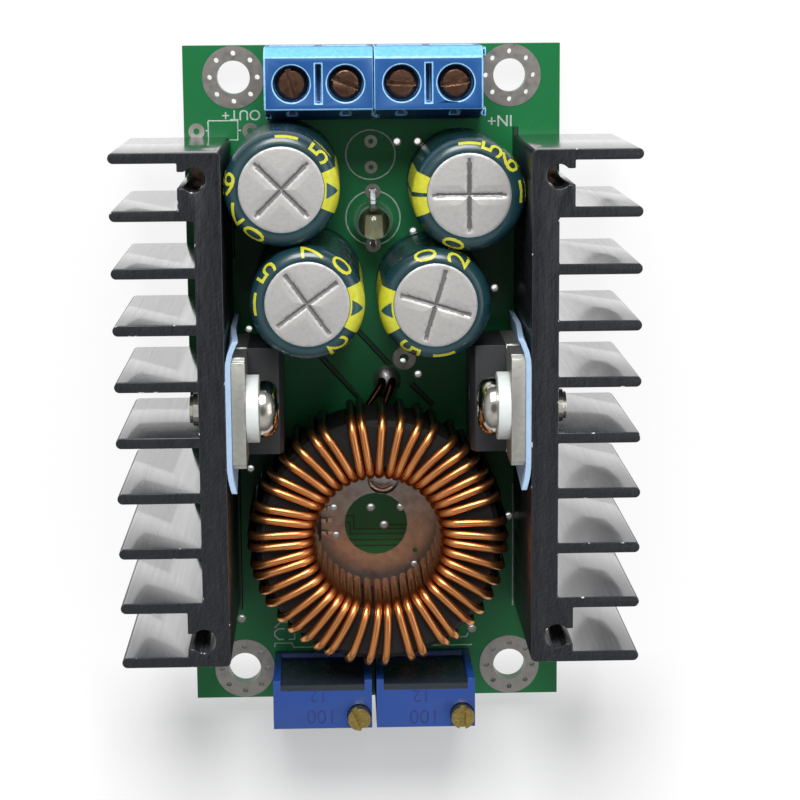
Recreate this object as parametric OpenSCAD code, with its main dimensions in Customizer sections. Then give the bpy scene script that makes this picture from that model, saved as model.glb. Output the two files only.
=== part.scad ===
// Step-down (buck) converter module: a circuit board that carries two screw terminal
// blocks, four electrolytic capacitors, a toroidal inductor with a two-strand winding,
// two power devices clamped to finned heatsinks, two multi-turn trimmers and an indicator.
// Origin: middle of the board, level with the tips of the heatsink pins. +Y is the
// terminal end, +Z is up.

/* [Board] */
// Width of the board
board_w = 36.4; // [36:0.1:40]
// Length of the board
board_l = 65.2; // [65:0.1:75]
// Thickness of the board
board_t = 1.6; // [1:0.1:2.4]
// Length of the heatsink pins below the board
foot_l = 1.5; // [1.2:0.1:3]
// Length of the clipped leads below the board
stub_l = 1.3; // [0.9:0.1:2.8]
// Mounting hole diameter
mount_d = 3.2; // [2.6:0.1:3.5]
// Mounting hole centre to the side edge
mount_inset_x = 4.85; // [4.5:0.05:5.5]
// Mounting hole centre to the end edge
mount_inset_y = 3.05; // [3:0.05:3.6]
// Outer diameter of the tinned ring round a mounting hole
ring_d = 6; // [5.4:0.1:6]
// Diameter of the small plated holes in that ring
ring_via_d = 0.5; // [0.3:0.05:0.6]
// Number of small holes in each ring
ring_vias = 8; // [4:1:10]
// Diameter of the through holes elsewhere in the board
via_d = 0.6; // [0.4:0.05:0.8]
// Thickness of the tinned copper on the board
plating_t = 0.05; // [0.03:0.01:0.1]

/* [Terminal blocks] */
// Distance between the two poles of a block
pole_pitch = 5; // [5:0.01:5.2]
// Length of one block
block_l = 10.1; // [10:0.05:10.6]
// Gap between the blocks
block_gap = 0.1; // [0.06:0.02:0.3]
// Height of a block
block_h = 9.95; // [9.8:0.05:11]
// Depth of a block at the board
block_d = 6.95; // [6.9:0.05:7.6]
// Depth of the sloping edge above the wire entries
chamfer_d = 0.92; // [0.4:0.02:1]
// Height of that sloping edge
chamfer_h = 1.6; // [0.8:0.1:2]
// How far the rear face leans forward at the top
rear_lean = 1.2; // [0.6:0.05:1.3]
// Height at which the rear face starts to lean
rear_foot = 4; // [3:0.1:6]
// Screw axis behind the wire entry face
pole_back = 3.33; // [3.3:0.01:3.5]
// Diameter of the driver well
well_d = 3.4; // [3.2:0.05:3.6]
// Depth of the driver well
well_depth = 2.05; // [1.9:0.05:2.2]
// Thickness of the ledge under the well
ledge_t = 0.6; // [0.4:0.05:0.8]
// Diameter of the terminal screw head
clamp_head_d = 2.8; // [2.6:0.05:2.9]
// Height of the terminal screw head
clamp_head_h = 1.35; // [1:0.05:1.6]
// Diameter of the terminal screw shank
clamp_shank_d = 2.3; // [2:0.05:2.4]
// Width of the terminal screw slot
clamp_slot_w = 0.5; // [0.4:0.05:0.7]
// Running clearance round the shank, on the radius
clamp_clear = 0.07; // [0.03:0.01:0.1]
// Width of the rising cage
cage_w = 3.8; // [3.6:0.05:3.9]
// Depth of the rising cage along the wire
cage_d = 3.2; // [2.8:0.05:3.3]
// Height of the rising cage
cage_h = 4.1; // [4:0.05:4.15]
// Thickness of the cage's threaded top wall
cage_top = 1; // [0.8:0.05:1.1]
// Thickness of the cage's floor and sides
cage_wall = 0.6; // [0.4:0.05:0.65]
// How far the cage rises
cage_travel = 1.9; // [1.5:0.05:1.9]
// Floor of the housing under the cage
floor_t = 1.2; // [0.8:0.05:1.3]
// Thickness of the contact strip
contact_t = 0.5; // [0.4:0.05:0.5]
// Width of the contact strip
contact_w = 2.2; // [1.6:0.1:2.4]
// Width of the solder pin below the contact strip
contact_pin_w = 0.9; // [0.7:0.05:1]
// Width of the dovetail ribs that join the blocks
rib_w = 0.9; // [0.6:0.05:0.9]
// How far the ribs stand out
rib_out = 0.45; // [0.3:0.05:0.45]

/* [Capacitors] */
// Share of the room between terminal blocks and devices that a capacitor's diameter takes
cap_share = 0.6; // [0.55:0.01:0.6]
// Height of the input capacitors
cap_tall = 16.1; // [12:0.1:20]
// How far the output capacitors stay below the heatsinks
cap_drop = 0.5; // [0.3:0.1:4]
// Thickness of the printed sleeve
sleeve_t = 0.14; // [0.1:0.01:0.2]
// Width of the sleeve's rim on top
rim_w = 1.325; // [0.9:0.025:1.6]
// Radius of the can's shoulder
shoulder_r = 1.1; // [0.8:0.05:1.25]
// Width of the scored lines in the disc
score_w = 0.3; // [0.2:0.05:0.5]
// Distance between the two leads of a capacitor
cap_lead_pitch = 5; // [4.5:0.1:5]
// Diameter of the leads
cap_lead_d = 0.6; // [0.5:0.05:0.7]
// Gap between a capacitor and what stands beside it
cap_gap = 0.15; // [0.1:0.01:0.3]

/* [Heatsinks] */
// Overall depth from the device face to the fin tips
sink_d = 9.92; // [9:0.1:12]
// Height along the extrusion
sink_h = 20.6; // [19.4:0.1:24]
// Thickness of the base plate
sink_base = 2.45; // [2:0.05:3]
// How far the device face sits in from the board's side edge
sink_inset = 4.45; // [4.2:0.05:4.5]
// Number of fins
fins = 10; // [8:2:10]
// Distance between fins
fin_pitch = 5.11; // [5.1:0.01:5.2]
// Thickness of a fin
fin_t = 0.98; // [0.7:0.02:1.1]
// Depth of the pin bosses from the device face
boss_d = 3.87; // [3.6:0.05:4.6]
// Diameter of the pin channels
channel_d = 2.2; // [2.1:0.05:2.3]
// Width of the slot that opens a pin channel
channel_slot = 1.42; // [1:0.02:1.6]
// Channel centre to the middle of the end fin
channel_from_fin = 1.95; // [1.9:0.05:2.3]
// Length of the pin inside the channel
pin_grip = 7; // [4:0.5:12]
// Diameter of the pin where it passes the board
pin_d = 1.6; // [1:0.1:1.9]
// Rounding of the base plate's corners
sink_corner = 0.5; // [0.2:0.05:0.8]

/* [Power devices] */
// Width of the metal tab
tab_w = 10.2; // [9.8:0.05:10.3]
// Thickness of the metal tab
tab_t = 1.3; // [1.1:0.05:1.4]
// Length of the tab above the moulded body
tab_h = 6.4; // [6:0.1:6.6]
// Hole in the tab
tab_hole_d = 3.6; // [3.5:0.05:3.8]
// Hole centre below the top of the tab
tab_hole_down = 2.8; // [2.7:0.05:3.2]
// Width of the moulded body
case_w = 10; // [9.6:0.05:10]
// Height of the moulded body
case_h = 9.2; // [8.6:0.1:9.4]
// Thickness of body and tab together
case_t = 4.5; // [4.2:0.05:4.55]
// Distance between leads
lead_pitch = 2.54; // [2.5:0.01:2.6]
// Width of the leads at the board
lead_w = 0.8; // [0.6:0.05:0.9]
// Thickness of the leads
lead_t = 0.5; // [0.4:0.05:0.6]
// Thickness of the silicone pad
pad_t = 0.5; // [0.3:0.05:0.55]
// Width of the silicone pad
pad_w = 13.9; // [12:0.1:14.5]
// Height of the silicone pad
pad_h = 18.5; // [17:0.1:19]
// Diameter of the insulating bush's flange
bush_d = 6.2; // [5.8:0.1:6.4]
// Thickness of the flange
bush_t = 1.15; // [0.8:0.05:1.3]
// Outer diameter of the bush inside the tab
bush_neck_d = 3.5; // [3.4:0.05:3.5]
// Thread diameter of the heatsink screw
screw_d = 3; // [2.5:0.1:3]
// Head diameter of the heatsink screw
screw_head_d = 5.3; // [5:0.1:5.6]
// Head height of the heatsink screw
screw_head_h = 1.35; // [1.2:0.05:1.8]
// How far the screw's end stands out behind the heatsink base
screw_out = 0.9; // [0.3:0.1:2]

/* [Inductor] */
// Outer diameter of the ring core
core_od = 23.2; // [22.6:0.1:23.3]
// Inner diameter of the ring core
core_id = 13.5; // [13.4:0.1:14]
// Height of the ring core
core_h = 9.5; // [8:0.1:10]
// Rounding of the core's edges
core_round = 0.6; // [0.4:0.05:0.8]
// Diameter of one strand
wire_d = 0.8; // [0.6:0.02:0.8]
// Gap between core and wire
wire_gap = 0.06; // [0.04:0.01:0.1]
// Turns of each strand
turns = 23; // [18:1:23]
// Share of a turn between the two strands of a pair, outside the ring
pair_share = 0.42; // [0.38:0.01:0.5]
// Slant of the upper runs
slant = 3; // [0:0.5:5]
// Height of the winding above the board
coil_lift = 1.6; // [1.55:0.05:3]
// Gap between the winding and the trimmers
coil_gap = 1.65; // [1.2:0.05:1.7]
// Gap between winding and device
coil_case_gap = 0.14; // [0.1:0.01:0.3]

/* [Trimmers] */
// Length of a trimmer
trim_l = 9.53; // [9.4:0.01:9.6]
// Depth of a trimmer
trim_d = 4.83; // [4.7:0.01:4.9]
// Height of a trimmer
trim_h = 10.05; // [9.8:0.05:11]
// Height of its feet
trim_foot = 0.25; // [0.2:0.05:0.5]
// Gap between the trimmers
trim_gap = 0.45; // [0.3:0.05:0.6]
// How far the pair sits to the left of the middle
trim_shift = 0.5; // [0:0.05:0.8]
// Adjusting screw axis to the end and to the outer face
trim_screw_in = 1.25; // [1.23:0.01:1.4]
// Diameter of the adjusting screw
trim_screw_d = 2.19; // [2:0.01:2.25]
// How far the adjusting screw stands out
trim_screw_out = 1.5; // [1:0.1:2]
// Depth of the adjusting screw inside the housing
trim_screw_deep = 2.4; // [1.5:0.1:3]
// Running clearance round the adjusting screw, on the radius
trim_clear = 0.07; // [0.03:0.01:0.1]
// Width of the adjusting slot
trim_slot_w = 0.56; // [0.4:0.02:0.7]
// Depth of the adjusting slot
trim_slot_d = 0.76; // [0.5:0.02:0.9]
// Thickness of the side ribs at the sealed face
trim_rib = 0.7; // [0.5:0.05:0.9]
// How far the seal sits back from the face
seal_back = 0.46; // [0.3:0.02:0.6]
// Thickness of the seal
seal_t = 0.6; // [0.4:0.05:0.8]
// Diameter of the trimmer pins
trim_pin_d = 0.5; // [0.4:0.05:0.6]

/* [Indicator] */
// Diameter of the lens
lens_d = 3; // [2.9:0.05:3.1]
// Diameter of the lens's flange
lens_flange_d = 3.8; // [3.6:0.05:4]
// Height of the lens
lens_h = 5.3; // [4.5:0.1:6]
// Height of the lens above the board
lens_lift = 1.6; // [1.4:0.1:3]
// Spread of the outer legs at the board
leg_spread = 2.6; // [2.54:0.01:2.8]
// Thickness of the legs
leg_d = 0.45; // [0.4:0.05:0.5]
// How far the indicator stands in front of the upper pair of capacitors
lens_back = 4.575; // [4.45:0.025:4.75]

/* [Small parts] */
// Length of an eight-pin chip
chip_l = 4.9; // [4.8:0.05:5]
// Width of an eight-pin chip
chip_w = 3.9; // [3.8:0.05:4]
// Height of an eight-pin chip
chip_h = 1.45; // [1.2:0.05:1.5]
// Distance between the chip's pins
chip_pitch = 1.27; // [1.25:0.01:1.3]
// Length of a chip resistor or chip capacitor
smd_l = 2; // [1.6:0.1:2.2]
// Width of a chip resistor or chip capacitor
smd_w = 1.25; // [0.8:0.05:1.3]
// Height of the solder fillets under the board
fillet_h = 0.8; // [0.5:0.05:0.9]

/* [Hidden] */
$fn = 48;

e = 0.01;                 // overshoot of a cut past a face
hole_clear = 0.1;         // play of a lead in its hole, on the radius
top = foot_l + board_t;   // upper face of the board
tip = foot_l - stub_l;    // lower end of the clipped leads
through = board_t + stub_l;
mount_x = board_w / 2 - mount_inset_x;
mount_y = board_l / 2 - mount_inset_y;
ring_via_at = (mount_d + ring_d) / 4;

block_x = (block_l + block_gap) / 2;
poles = [for (b = [-1, 1], p = [-0.5, 0.5]) b * block_x + p * pole_pitch];
front_y = board_l / 2;
pole_y = front_y - pole_back;
block_rear_y = front_y - block_d;
ledge_z = block_h - well_depth;
cavity_w = cage_w + 0.4;
cavity_top = ledge_z - ledge_t;
cavity_front = pole_y + cage_d / 2 + 0.6;
cavity_rear = pole_y - cage_d / 2 - 0.7;
cage_z = floor_t + 0.05;
bar_z = cage_z + cage_wall + cage_travel + 0.05;
contact_y = cavity_rear + 0.05;

sink_face = board_w / 2 - sink_inset;
tab_back = sink_face - pad_t;
coil_r = core_od / 2 + wire_gap + wire_d;
trim_face_y = -board_l / 2;
coil_y = trim_face_y + trim_d + coil_gap + coil_r;
// the devices stand beside the winding, and the heatsinks carry them at their middle
case_face = tab_back - case_t;
sink_y = coil_y + sqrt(coil_r * coil_r - case_face * case_face) + coil_case_gap + case_w / 2;

// the capacitors fill what is left, in length or in width
cap_room = block_rear_y - sink_y - case_w / 2;
cap_d = min(cap_share * cap_room - 1.88, (sink_face - cap_gap) / 1.32);
cap_r = cap_d / 2;
can_r = cap_r - sleeve_t;
disc_d = cap_d - 2 * rim_w;
cap_lift = 0.2;
cap_tall_out = sink_h - cap_drop;
cap_row_x = sink_face - cap_gap - cap_r;
cap_row_y = block_rear_y - cap_gap / 2 - cap_r;
cap_stagger = 0.097 * cap_d;
cap_reach = cap_d + cap_gap;
row_in_left = 0.2087 * cap_d;
row_in_right = 0.301 * cap_d;
lens_y = cap_row_y - lens_back;
bung_h = 1.35;
bung_wall = 0.6;
function below(y, dx) = y - sqrt(cap_reach * cap_reach - dx * dx);
// x, y, height and turn of the scored cross of each capacitor
caps = [
    [-cap_row_x, cap_row_y, cap_tall_out, 45],
    [cap_row_x, cap_row_y - cap_stagger, cap_tall, 0],
    [-cap_row_x + row_in_left, below(cap_row_y, row_in_left), cap_tall_out, 36],
    [cap_row_x - row_in_right, below(cap_row_y - cap_stagger, row_in_right), cap_tall, -17]
];

sink_l = (fins - 1) * fin_pitch;
channel_y = sink_l / 2 - channel_from_fin;
channel_x = sink_face + sink_base - 0.05;
tab_top = sink_h - 0.1;
bolt_z = tab_top - tab_hole_down;
case_top = tab_top - tab_h;
case_z = case_top - case_h;
lead_x = tab_back - 2.6;
bush_face = tab_back - tab_t - bush_t;

coil_h = core_h + 2 * (wire_gap + wire_d);
core_z = coil_lift + wire_d + wire_gap;
// where the strands pass the board
coil_out = [1.2, coil_y + coil_r + 1];
coil_in = [1, coil_y + core_id / 2 - wire_d - 1.9];
strand_gap = 0.5;
out_hole_r = strand_gap + wire_d / 2 + 2 * hole_clear;
in_hole_r = out_hole_r + 0.45;
in_hole = coil_in - [0.25, 0.6];
leg_in = 0.9;             // outer legs from the middle, inside the lens

trim_x = [-trim_shift - (trim_gap + trim_l) / 2, -trim_shift + (trim_gap + trim_l) / 2];
trim_y = trim_face_y + trim_d / 2;
trim_screw_y = trim_face_y + trim_screw_in;
function trim_screw_x(x) = x + trim_l / 2 - trim_screw_in;

chip_y = trim_face_y + trim_d + 0.3 + chip_l / 2;
chips = [[-2.8, chip_y], [-7.4, coil_y]];
resistors = [[3.2, chip_y + 0.8], [6, chip_y + 0.8], [8.2, chip_y + 3.2], [8.6, coil_y + 2], [8.6, coil_y + 4.6]];
ceramics = [[3.2, chip_y - 1.3], [6, chip_y - 1.3], [-8.2, coil_y + 5.4], [8.6, coil_y - 0.8]];
// open plated holes, left of centre and right of centre
vias = [
    for (v = [[-4.2, 0.6], [-4, -2.2], [-0.5, 0.6], [0.8, -1.2], [2.5, 0.6], [3.8, -5.3],
        [-12.4, 4.7], [-13.6, -10.7], [9.6, -12.1], [13.3, -0.5]]) [v[0], v[1] + coil_y],
    for (v = [[-12.3, 4.7], [-14.6, 4.7], [11.9, 8.5], [4.3, 0], [2.8, 1.3]]) [v[0], v[1] + sink_y],
    for (v = [[2.4, -2.4], [4.4, -2.4]]) [v[0], v[1] + block_rear_y],
    for (v = [[3.9, -1.3], [4.5, -2.5]]) [v[0], v[1] + lens_y]
];

module at_mounts() {
    for (sx = [-1, 1], sy = [-1, 1]) translate([sx * mount_x, sy * mount_y]) children();
}

// lead positions, shared by the leads, their holes and their solder
module at_cap_leads() {
    for (c = caps, s = [-1, 1]) translate([c[0] + s * cap_lead_pitch / 2, c[1]]) children();
}
module at_device_leads() {
    for (s = [-1, 1], k = [-1:1]) translate([s * lead_x, sink_y + k * lead_pitch]) children();
}
module at_contacts() {
    for (x = poles) translate([x, contact_y + contact_t / 2]) children();
}
module at_trim_pins() {
    for (x = trim_x, k = [-1:1]) translate([x + k * lead_pitch, trim_y - 0.4]) children();
}
module at_legs() {
    for (k = [-1:1]) translate([0, lens_y + k * leg_spread]) children();
}
module at_channels() {
    for (sx = [-1, 1], sy = [-1, 1])
        translate([sx * channel_x, sink_y + sy * channel_y]) children();
}
module at_strands() {
    for (p = [coil_out, coil_in], s = [-1, 1])
        translate([p[0] + s * strand_gap, p[1]]) children();
}

module ring_outline() {
    difference() {
        circle(d = ring_d);
        circle(d = mount_d);
        for (i = [0:ring_vias - 1]) rotate(i * 360 / ring_vias)
            translate([0, ring_via_at]) circle(d = ring_via_d);
    }
}

module board() color("#1d6a3a") {
    translate([0, 0, foot_l]) linear_extrude(board_t) difference() {
        square([board_w, board_l], center = true);
        at_mounts() {
            circle(d = mount_d);
            for (i = [0:ring_vias - 1]) rotate(i * 360 / ring_vias)
                translate([0, ring_via_at]) circle(d = ring_via_d);
        }
        for (v = vias) translate(v) circle(d = via_d);
        at_cap_leads() circle(d = cap_lead_d + 2 * hole_clear);
        at_device_leads() circle(d = lead_w + 0.3 + 2 * hole_clear);
        at_contacts() circle(d = contact_pin_w + 0.2 + 2 * hole_clear);
        at_trim_pins() circle(d = trim_pin_d + 2 * hole_clear);
        at_legs() circle(d = leg_d * 1.45 + hole_clear);
        at_channels() circle(d = pin_d + 2 * hole_clear);
        translate(coil_out) circle(r = out_hole_r);
        translate(in_hole) circle(r = in_hole_r);
    }
}

module mounting_rings() color("#b9bcbb") {
    at_mounts() {
        translate([0, 0, top]) linear_extrude(plating_t) ring_outline();
        translate([0, 0, foot_l - plating_t]) linear_extrude(plating_t) ring_outline();
    }
}

// a cone of solder under the board round a lead of the given diameter
module fillet(d, flare = 1) {
    translate([0, 0, foot_l - fillet_h]) rotate_extrude() polygon([
        [d / 2, 0], [d / 2 + 0.15, 0], [d / 2 + flare * 0.35, fillet_h * 0.6],
        [d / 2 + flare * 0.75, fillet_h], [d / 2, fillet_h]
    ]);
}

module solder_joints() color("#c8cacb") {
    at_cap_leads() fillet(cap_lead_d);
    at_device_leads() fillet(lead_w + 0.3, 0.8);
    at_contacts() fillet(contact_pin_w + 0.2);
    at_trim_pins() fillet(trim_pin_d, 0.9);
    at_legs() fillet(leg_d * 1.45, 0.8);
    at_channels() fillet(pin_d);
    // each pair of strands shares one hole and one joint
    difference() {
        union() {
            translate([coil_out[0], coil_out[1], foot_l - fillet_h])
                cylinder(r1 = out_hole_r - 0.1, r2 = out_hole_r + 0.5, h = fillet_h);
            translate([in_hole[0], in_hole[1], foot_l - fillet_h])
                cylinder(r1 = in_hole_r, r2 = in_hole_r + 0.5, h = fillet_h);
            // solder drawn up into the wider hole
            translate([in_hole[0], in_hole[1], foot_l - e])
                cylinder(r = in_hole_r - 0.05, h = board_t * 0.6);
            // dome on the upper face
            translate([coil_out[0], coil_out[1], top]) intersection() {
                translate([0, 0, -0.5]) sphere(r = out_hole_r + 0.4);
                translate([-2, -2, 0]) cube([4, 4, 2]);
            }
        }
        at_strands() translate([0, 0, -1]) cylinder(d = wire_d, h = top + coil_lift + 1);
    }
}

// side view of a terminal block: wire entry face at 0, rear to negative
module block_outline() {
    polygon([
        [0, 0], [0, block_h - chamfer_h], [-chamfer_d, block_h],
        [rear_lean - block_d, block_h], [-block_d, rear_foot], [-block_d, 0]
    ]);
}

module rib(grow = 0) {
    linear_extrude(rear_foot + 2.6 + 2 * grow) polygon([
        [-e - grow, -rib_w / 3 - grow], [rib_out + grow, -rib_w / 2 - grow],
        [rib_out + grow, rib_w / 2 + grow], [-e - grow, rib_w / 3 + grow]
    ]);
}

module at_ribs(x) {
    for (y = [block_rear_y + 0.75, front_y - 0.6])
        translate([x, y, 0.3]) children();
}

module terminal_housing(side) color("#1f6fb5") translate([0, 0, top]) {
    bx = side * block_x;
    difference() {
        union() {
            translate([bx - block_l / 2, front_y]) rotate([90, 0, 90])
                linear_extrude(block_l) block_outline();
            at_ribs(bx + block_l / 2) rib();
        }
        at_ribs(bx - block_l / 2 - block_gap) translate([0, 0, -0.1]) rib(0.1);
        for (p = [-0.5, 0.5]) translate([bx + p * pole_pitch, 0]) {
            translate([0, pole_y, ledge_z]) cylinder(d = well_d, h = well_depth + e);
            translate([0, pole_y, cavity_top - e])
                cylinder(d = clamp_shank_d + 2 * clamp_clear, h = ledge_t + 2 * e);
            translate([-cavity_w / 2, cavity_rear, floor_t])
                cube([cavity_w, cavity_front - cavity_rear, cavity_top - floor_t]);
            // wire entry
            translate([-cage_w / 2 - 0.1, cavity_front - e, floor_t])
                cube([cage_w + 0.2, front_y - cavity_front + 1, cage_h + 0.15]);
            // slot in the floor for the solder pin
            translate([-contact_pin_w / 2 - 0.1, contact_y - 0.1, -e])
                cube([contact_pin_w + 0.2, contact_t + 0.2, floor_t + 2 * e]);
            // sight hole in the leaning face
            translate([0, block_rear_y + 0.72, rear_foot + 2.3])
                cylinder(d = 0.9, h = block_h);
        }
        // slot between the wells
        translate([bx - 0.28, pole_y - 1.8, block_h - 2.4]) cube([0.56, 3.6, 3]);
    }
}

module terminal_contacts() color("#c9b46a") translate([0, 0, top]) {
    for (x = poles) translate([x, contact_y]) {
        translate([-contact_w / 2, 0, bar_z])
            cube([contact_w, pole_y + cage_d / 2 - contact_y, contact_t]);
        translate([-contact_w / 2, 0, floor_t + 0.05])
            cube([contact_w, contact_t, bar_z + contact_t - floor_t - 0.05]);
        translate([-contact_pin_w / 2, 0, -through])
            cube([contact_pin_w, contact_t, through + floor_t + 0.1]);
    }
}

module clamp_screw(i, turn) color("#a78f5a") translate([poles[i], pole_y, top]) {
    shank_end = bar_z + contact_t + 0.1;
    difference() {
        union() {
            translate([0, 0, ledge_z + 0.05]) rotate_extrude() polygon([
                [0, 0], [clamp_head_d / 2, 0], [clamp_head_d / 2, clamp_head_h - 0.2],
                [clamp_head_d / 2 - 0.25, clamp_head_h], [0, clamp_head_h]
            ]);
            translate([0, 0, shank_end]) cylinder(d = clamp_shank_d, h = ledge_z + 0.1 - shank_end);
        }
        rotate(turn) translate([-clamp_head_d, -clamp_slot_w / 2, ledge_z + clamp_head_h - 0.6])
            cube([2 * clamp_head_d, clamp_slot_w, 1.5]);
    }
}

module wire_cage(i) color("#cfd1cf") translate([poles[i], pole_y, top + cage_z]) {
    difference() {
        translate([-cage_w / 2, -cage_d / 2, 0]) cube([cage_w, cage_d, cage_h]);
        translate([-cage_w / 2 + cage_wall, -cage_d / 2 - e, cage_wall])
            cube([cage_w - 2 * cage_wall, cage_d + 2 * e, cage_h - cage_wall - cage_top]);
        cylinder(d = clamp_shank_d + 2 * clamp_clear, h = cage_h + 1);
        // serrations that grip the wire
        for (k = [-1:1]) translate([0, k * cage_d / 4, cage_wall]) rotate([45, 0, 0])
            cube([cage_w - 2 * cage_wall, 0.25, 0.25], center = true);
    }
}

// half section of a capacitor can, grown by o
module can_section(h, o = 0) {
    difference() {
        union() {
            square([can_r + o - shoulder_r, h + o]);
            square([can_r + o, h - shoulder_r]);
            translate([can_r - shoulder_r, h - shoulder_r]) circle(r = shoulder_r + o);
        }
        translate([can_r + 1.05, 2.2]) circle(r = 1.4 - o);
        translate([-h, -h]) square([h, 3 * h]);
    }
}

module capacitor_can(c) color("#c9c9c9") {
    h = c[2] - sleeve_t;
    translate([c[0], c[1], top + cap_lift]) difference() {
        rotate_extrude($fn = 64) can_section(h);
        translate([0, 0, -e]) cylinder(r = can_r - bung_wall, h = bung_h + 0.05);
        rotate(c[3]) for (a = [0, 90]) rotate(a)
            translate([-disc_d / 2 + 0.7, -score_w / 2, h - 0.12]) cube([disc_d - 1.4, score_w, 1]);
    }
}

module capacitor_sleeve(c) color("#2b4f55") {
    h = c[2] - sleeve_t;
    translate([c[0], c[1], top + cap_lift]) rotate_extrude($fn = 64) difference() {
        can_section(h, sleeve_t);
        can_section(h, 0);
        translate([0, h - shoulder_r]) square([disc_d / 2, 2 * shoulder_r]);
        translate([0, -e]) square([can_r - 0.3, h / 2]);
    }
}

module capacitor_bungs() color("#2a2826") {
    for (c = caps) translate([c[0], c[1], top + cap_lift]) difference() {
        translate([0, 0, -cap_lift / 2]) cylinder(r = can_r - bung_wall - 0.02, h = bung_h + cap_lift / 2);
        for (s = [-1, 1]) translate([s * cap_lead_pitch / 2, 0, -cap_lift])
            cylinder(d = cap_lead_d + 0.02, h = bung_h + 2 * cap_lift);
    }
}

module capacitor_leads() color("#c4c6c8") {
    at_cap_leads() translate([0, 0, tip]) cylinder(d = cap_lead_d, h = through + cap_lift + 1.3);
}

// heatsink section: device face on x = 0, fins towards +x, length along y
module sink_outline() {
    end = (sink_l + fin_t) / 2;
    difference() {
        union() {
            translate([sink_corner, -end]) square([sink_base - sink_corner, 2 * end]);
            translate([0, sink_corner - end]) square([sink_base, 2 * (end - sink_corner)]);
            for (s = [-1, 1]) {
                translate([sink_corner, s * (end - sink_corner)]) circle(r = sink_corner);
                translate([sink_corner, s * (sink_l - fin_pitch) / 2 - fin_pitch / 2])
                    square([boss_d - sink_corner, fin_pitch]);
            }
            for (i = [0:fins - 1]) translate([0, i * fin_pitch - sink_l / 2]) {
                translate([sink_corner, -fin_t / 2]) square([sink_d - sink_corner - fin_t / 2, fin_t]);
                translate([sink_d - fin_t / 2, 0]) circle(d = fin_t);
            }
        }
        for (s = [-1, 1]) translate([channel_x - sink_face, s * channel_y]) {
            circle(d = channel_d);
            translate([0, -channel_slot / 2]) square([boss_d, channel_slot]);
        }
    }
}

module heatsink(side) color("#26272a") {
    translate([side * sink_face, sink_y, top]) mirror([side < 0 ? 1 : 0, 0]) difference() {
        linear_extrude(sink_h) sink_outline();
        translate([-e, 0, bolt_z]) rotate([0, 90, 0]) cylinder(d = screw_d, h = sink_base + 1);
    }
}

module heatsink_pins() color("#b58a5c") {
    at_channels() {
        cylinder(d = pin_d, h = top + e);
        translate([0, 0, top]) cylinder(d = channel_d, h = pin_grip);
    }
}

module device_tab(side) color("#b9bab4") {
    translate([side * tab_back, sink_y, top]) mirror([side > 0 ? 1 : 0, 0]) difference() {
        union() {
            translate([0, -tab_w / 2, case_z + 0.6]) cube([tab_t, tab_w, tab_top - case_z - 1]);
            translate([0, -tab_w / 2 + 0.4, tab_top - 0.5]) cube([tab_t, tab_w - 0.8, 0.5]);
        }
        translate([-e, 0, bolt_z]) rotate([0, 90, 0]) cylinder(d = tab_hole_d, h = tab_t + 1);
        for (s = [-1, 1]) translate([-e, s * tab_w / 2, case_top + 0.5]) rotate([0, 90, 0])
            cylinder(r = 0.5, h = tab_t + 1);
    }
}

module device_case(side) color("#242424") {
    translate([side * tab_back, sink_y, top]) mirror([side > 0 ? 1 : 0, 0]) difference() {
        rotate([90, 0, 0]) translate([0, 0, -case_w / 2]) linear_extrude(case_w) polygon([
            [tab_t, case_z], [case_t - 0.35, case_z], [case_t, case_z + 0.6],
            [case_t, case_top - 0.8], [case_t - 0.35, case_top], [tab_t, case_top]
        ]);
        translate([case_t - 0.1, 0, case_z + case_h * 0.6]) rotate([0, 90, 0]) cylinder(d = 1.8, h = 1);
        for (k = [-1:1]) translate([2.6 - lead_t / 2, k * lead_pitch - 0.65, case_z - e])
            cube([lead_t, 1.3, 1]);
    }
}

module device_leads() color("#c2c3c0") {
    at_device_leads() {
        translate([-lead_t / 2, -lead_w / 2, tip]) cube([lead_t, lead_w, through + case_z]);
        translate([-lead_t / 2, -0.65, top + 1.2]) cube([lead_t, 1.3, case_z - 0.25]);
    }
}

module thermal_pad(side) color("#a9c4e0") {
    translate([side * sink_face, 0, top + sink_h - pad_h]) mirror([side > 0 ? 1 : 0, 0])
        difference() {
            translate([0, -pad_w / 2, 0]) cube([pad_t, pad_w, pad_h]);
            translate([-e, sink_y, bolt_z - sink_h + pad_h]) rotate([0, 90, 0])
                cylinder(d = tab_hole_d, h = 1);
        }
}

module insulating_bush(side) color("#dfe3e2") {
    translate([side * bush_face, sink_y, top + bolt_z]) rotate([0, side * 90, 0]) difference() {
        union() {
            cylinder(d = bush_d, h = bush_t);
            cylinder(d = bush_neck_d, h = bush_t + tab_t);
        }
        translate([0, 0, -e]) cylinder(d = screw_d + 0.1, h = bush_t + tab_t + 2 * e);
    }
}

module heatsink_screw(side) color("#c3c3bf") {
    shank = bush_t + tab_t + pad_t + sink_base + screw_out;
    translate([side * bush_face, sink_y, top + bolt_z]) rotate([0, side * 90, 0]) difference() {
        union() {
            translate([0, 0, -screw_head_h]) rotate_extrude() difference() {
                union() {
                    translate([0, 0.5]) square([screw_head_d / 2, screw_head_h - 0.5]);
                    square([screw_head_d / 2 - 0.5, screw_head_h]);
                    translate([screw_head_d / 2 - 0.5, 0.5]) circle(r = 0.5);
                }
                translate([-2, -1]) square([2, 4]);
            }
            cylinder(d = screw_d, h = shank - 0.3);
            cylinder(d = screw_d - 0.5, h = shank);
        }
        for (a = [0, 90]) rotate(a) translate([-1.4, -0.32, -screw_head_h - e]) cube([2.8, 0.64, 0.9]);
        translate([0, 0, -screw_head_h - e]) cylinder(d = 1.3, h = 1.1);
    }
}

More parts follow.
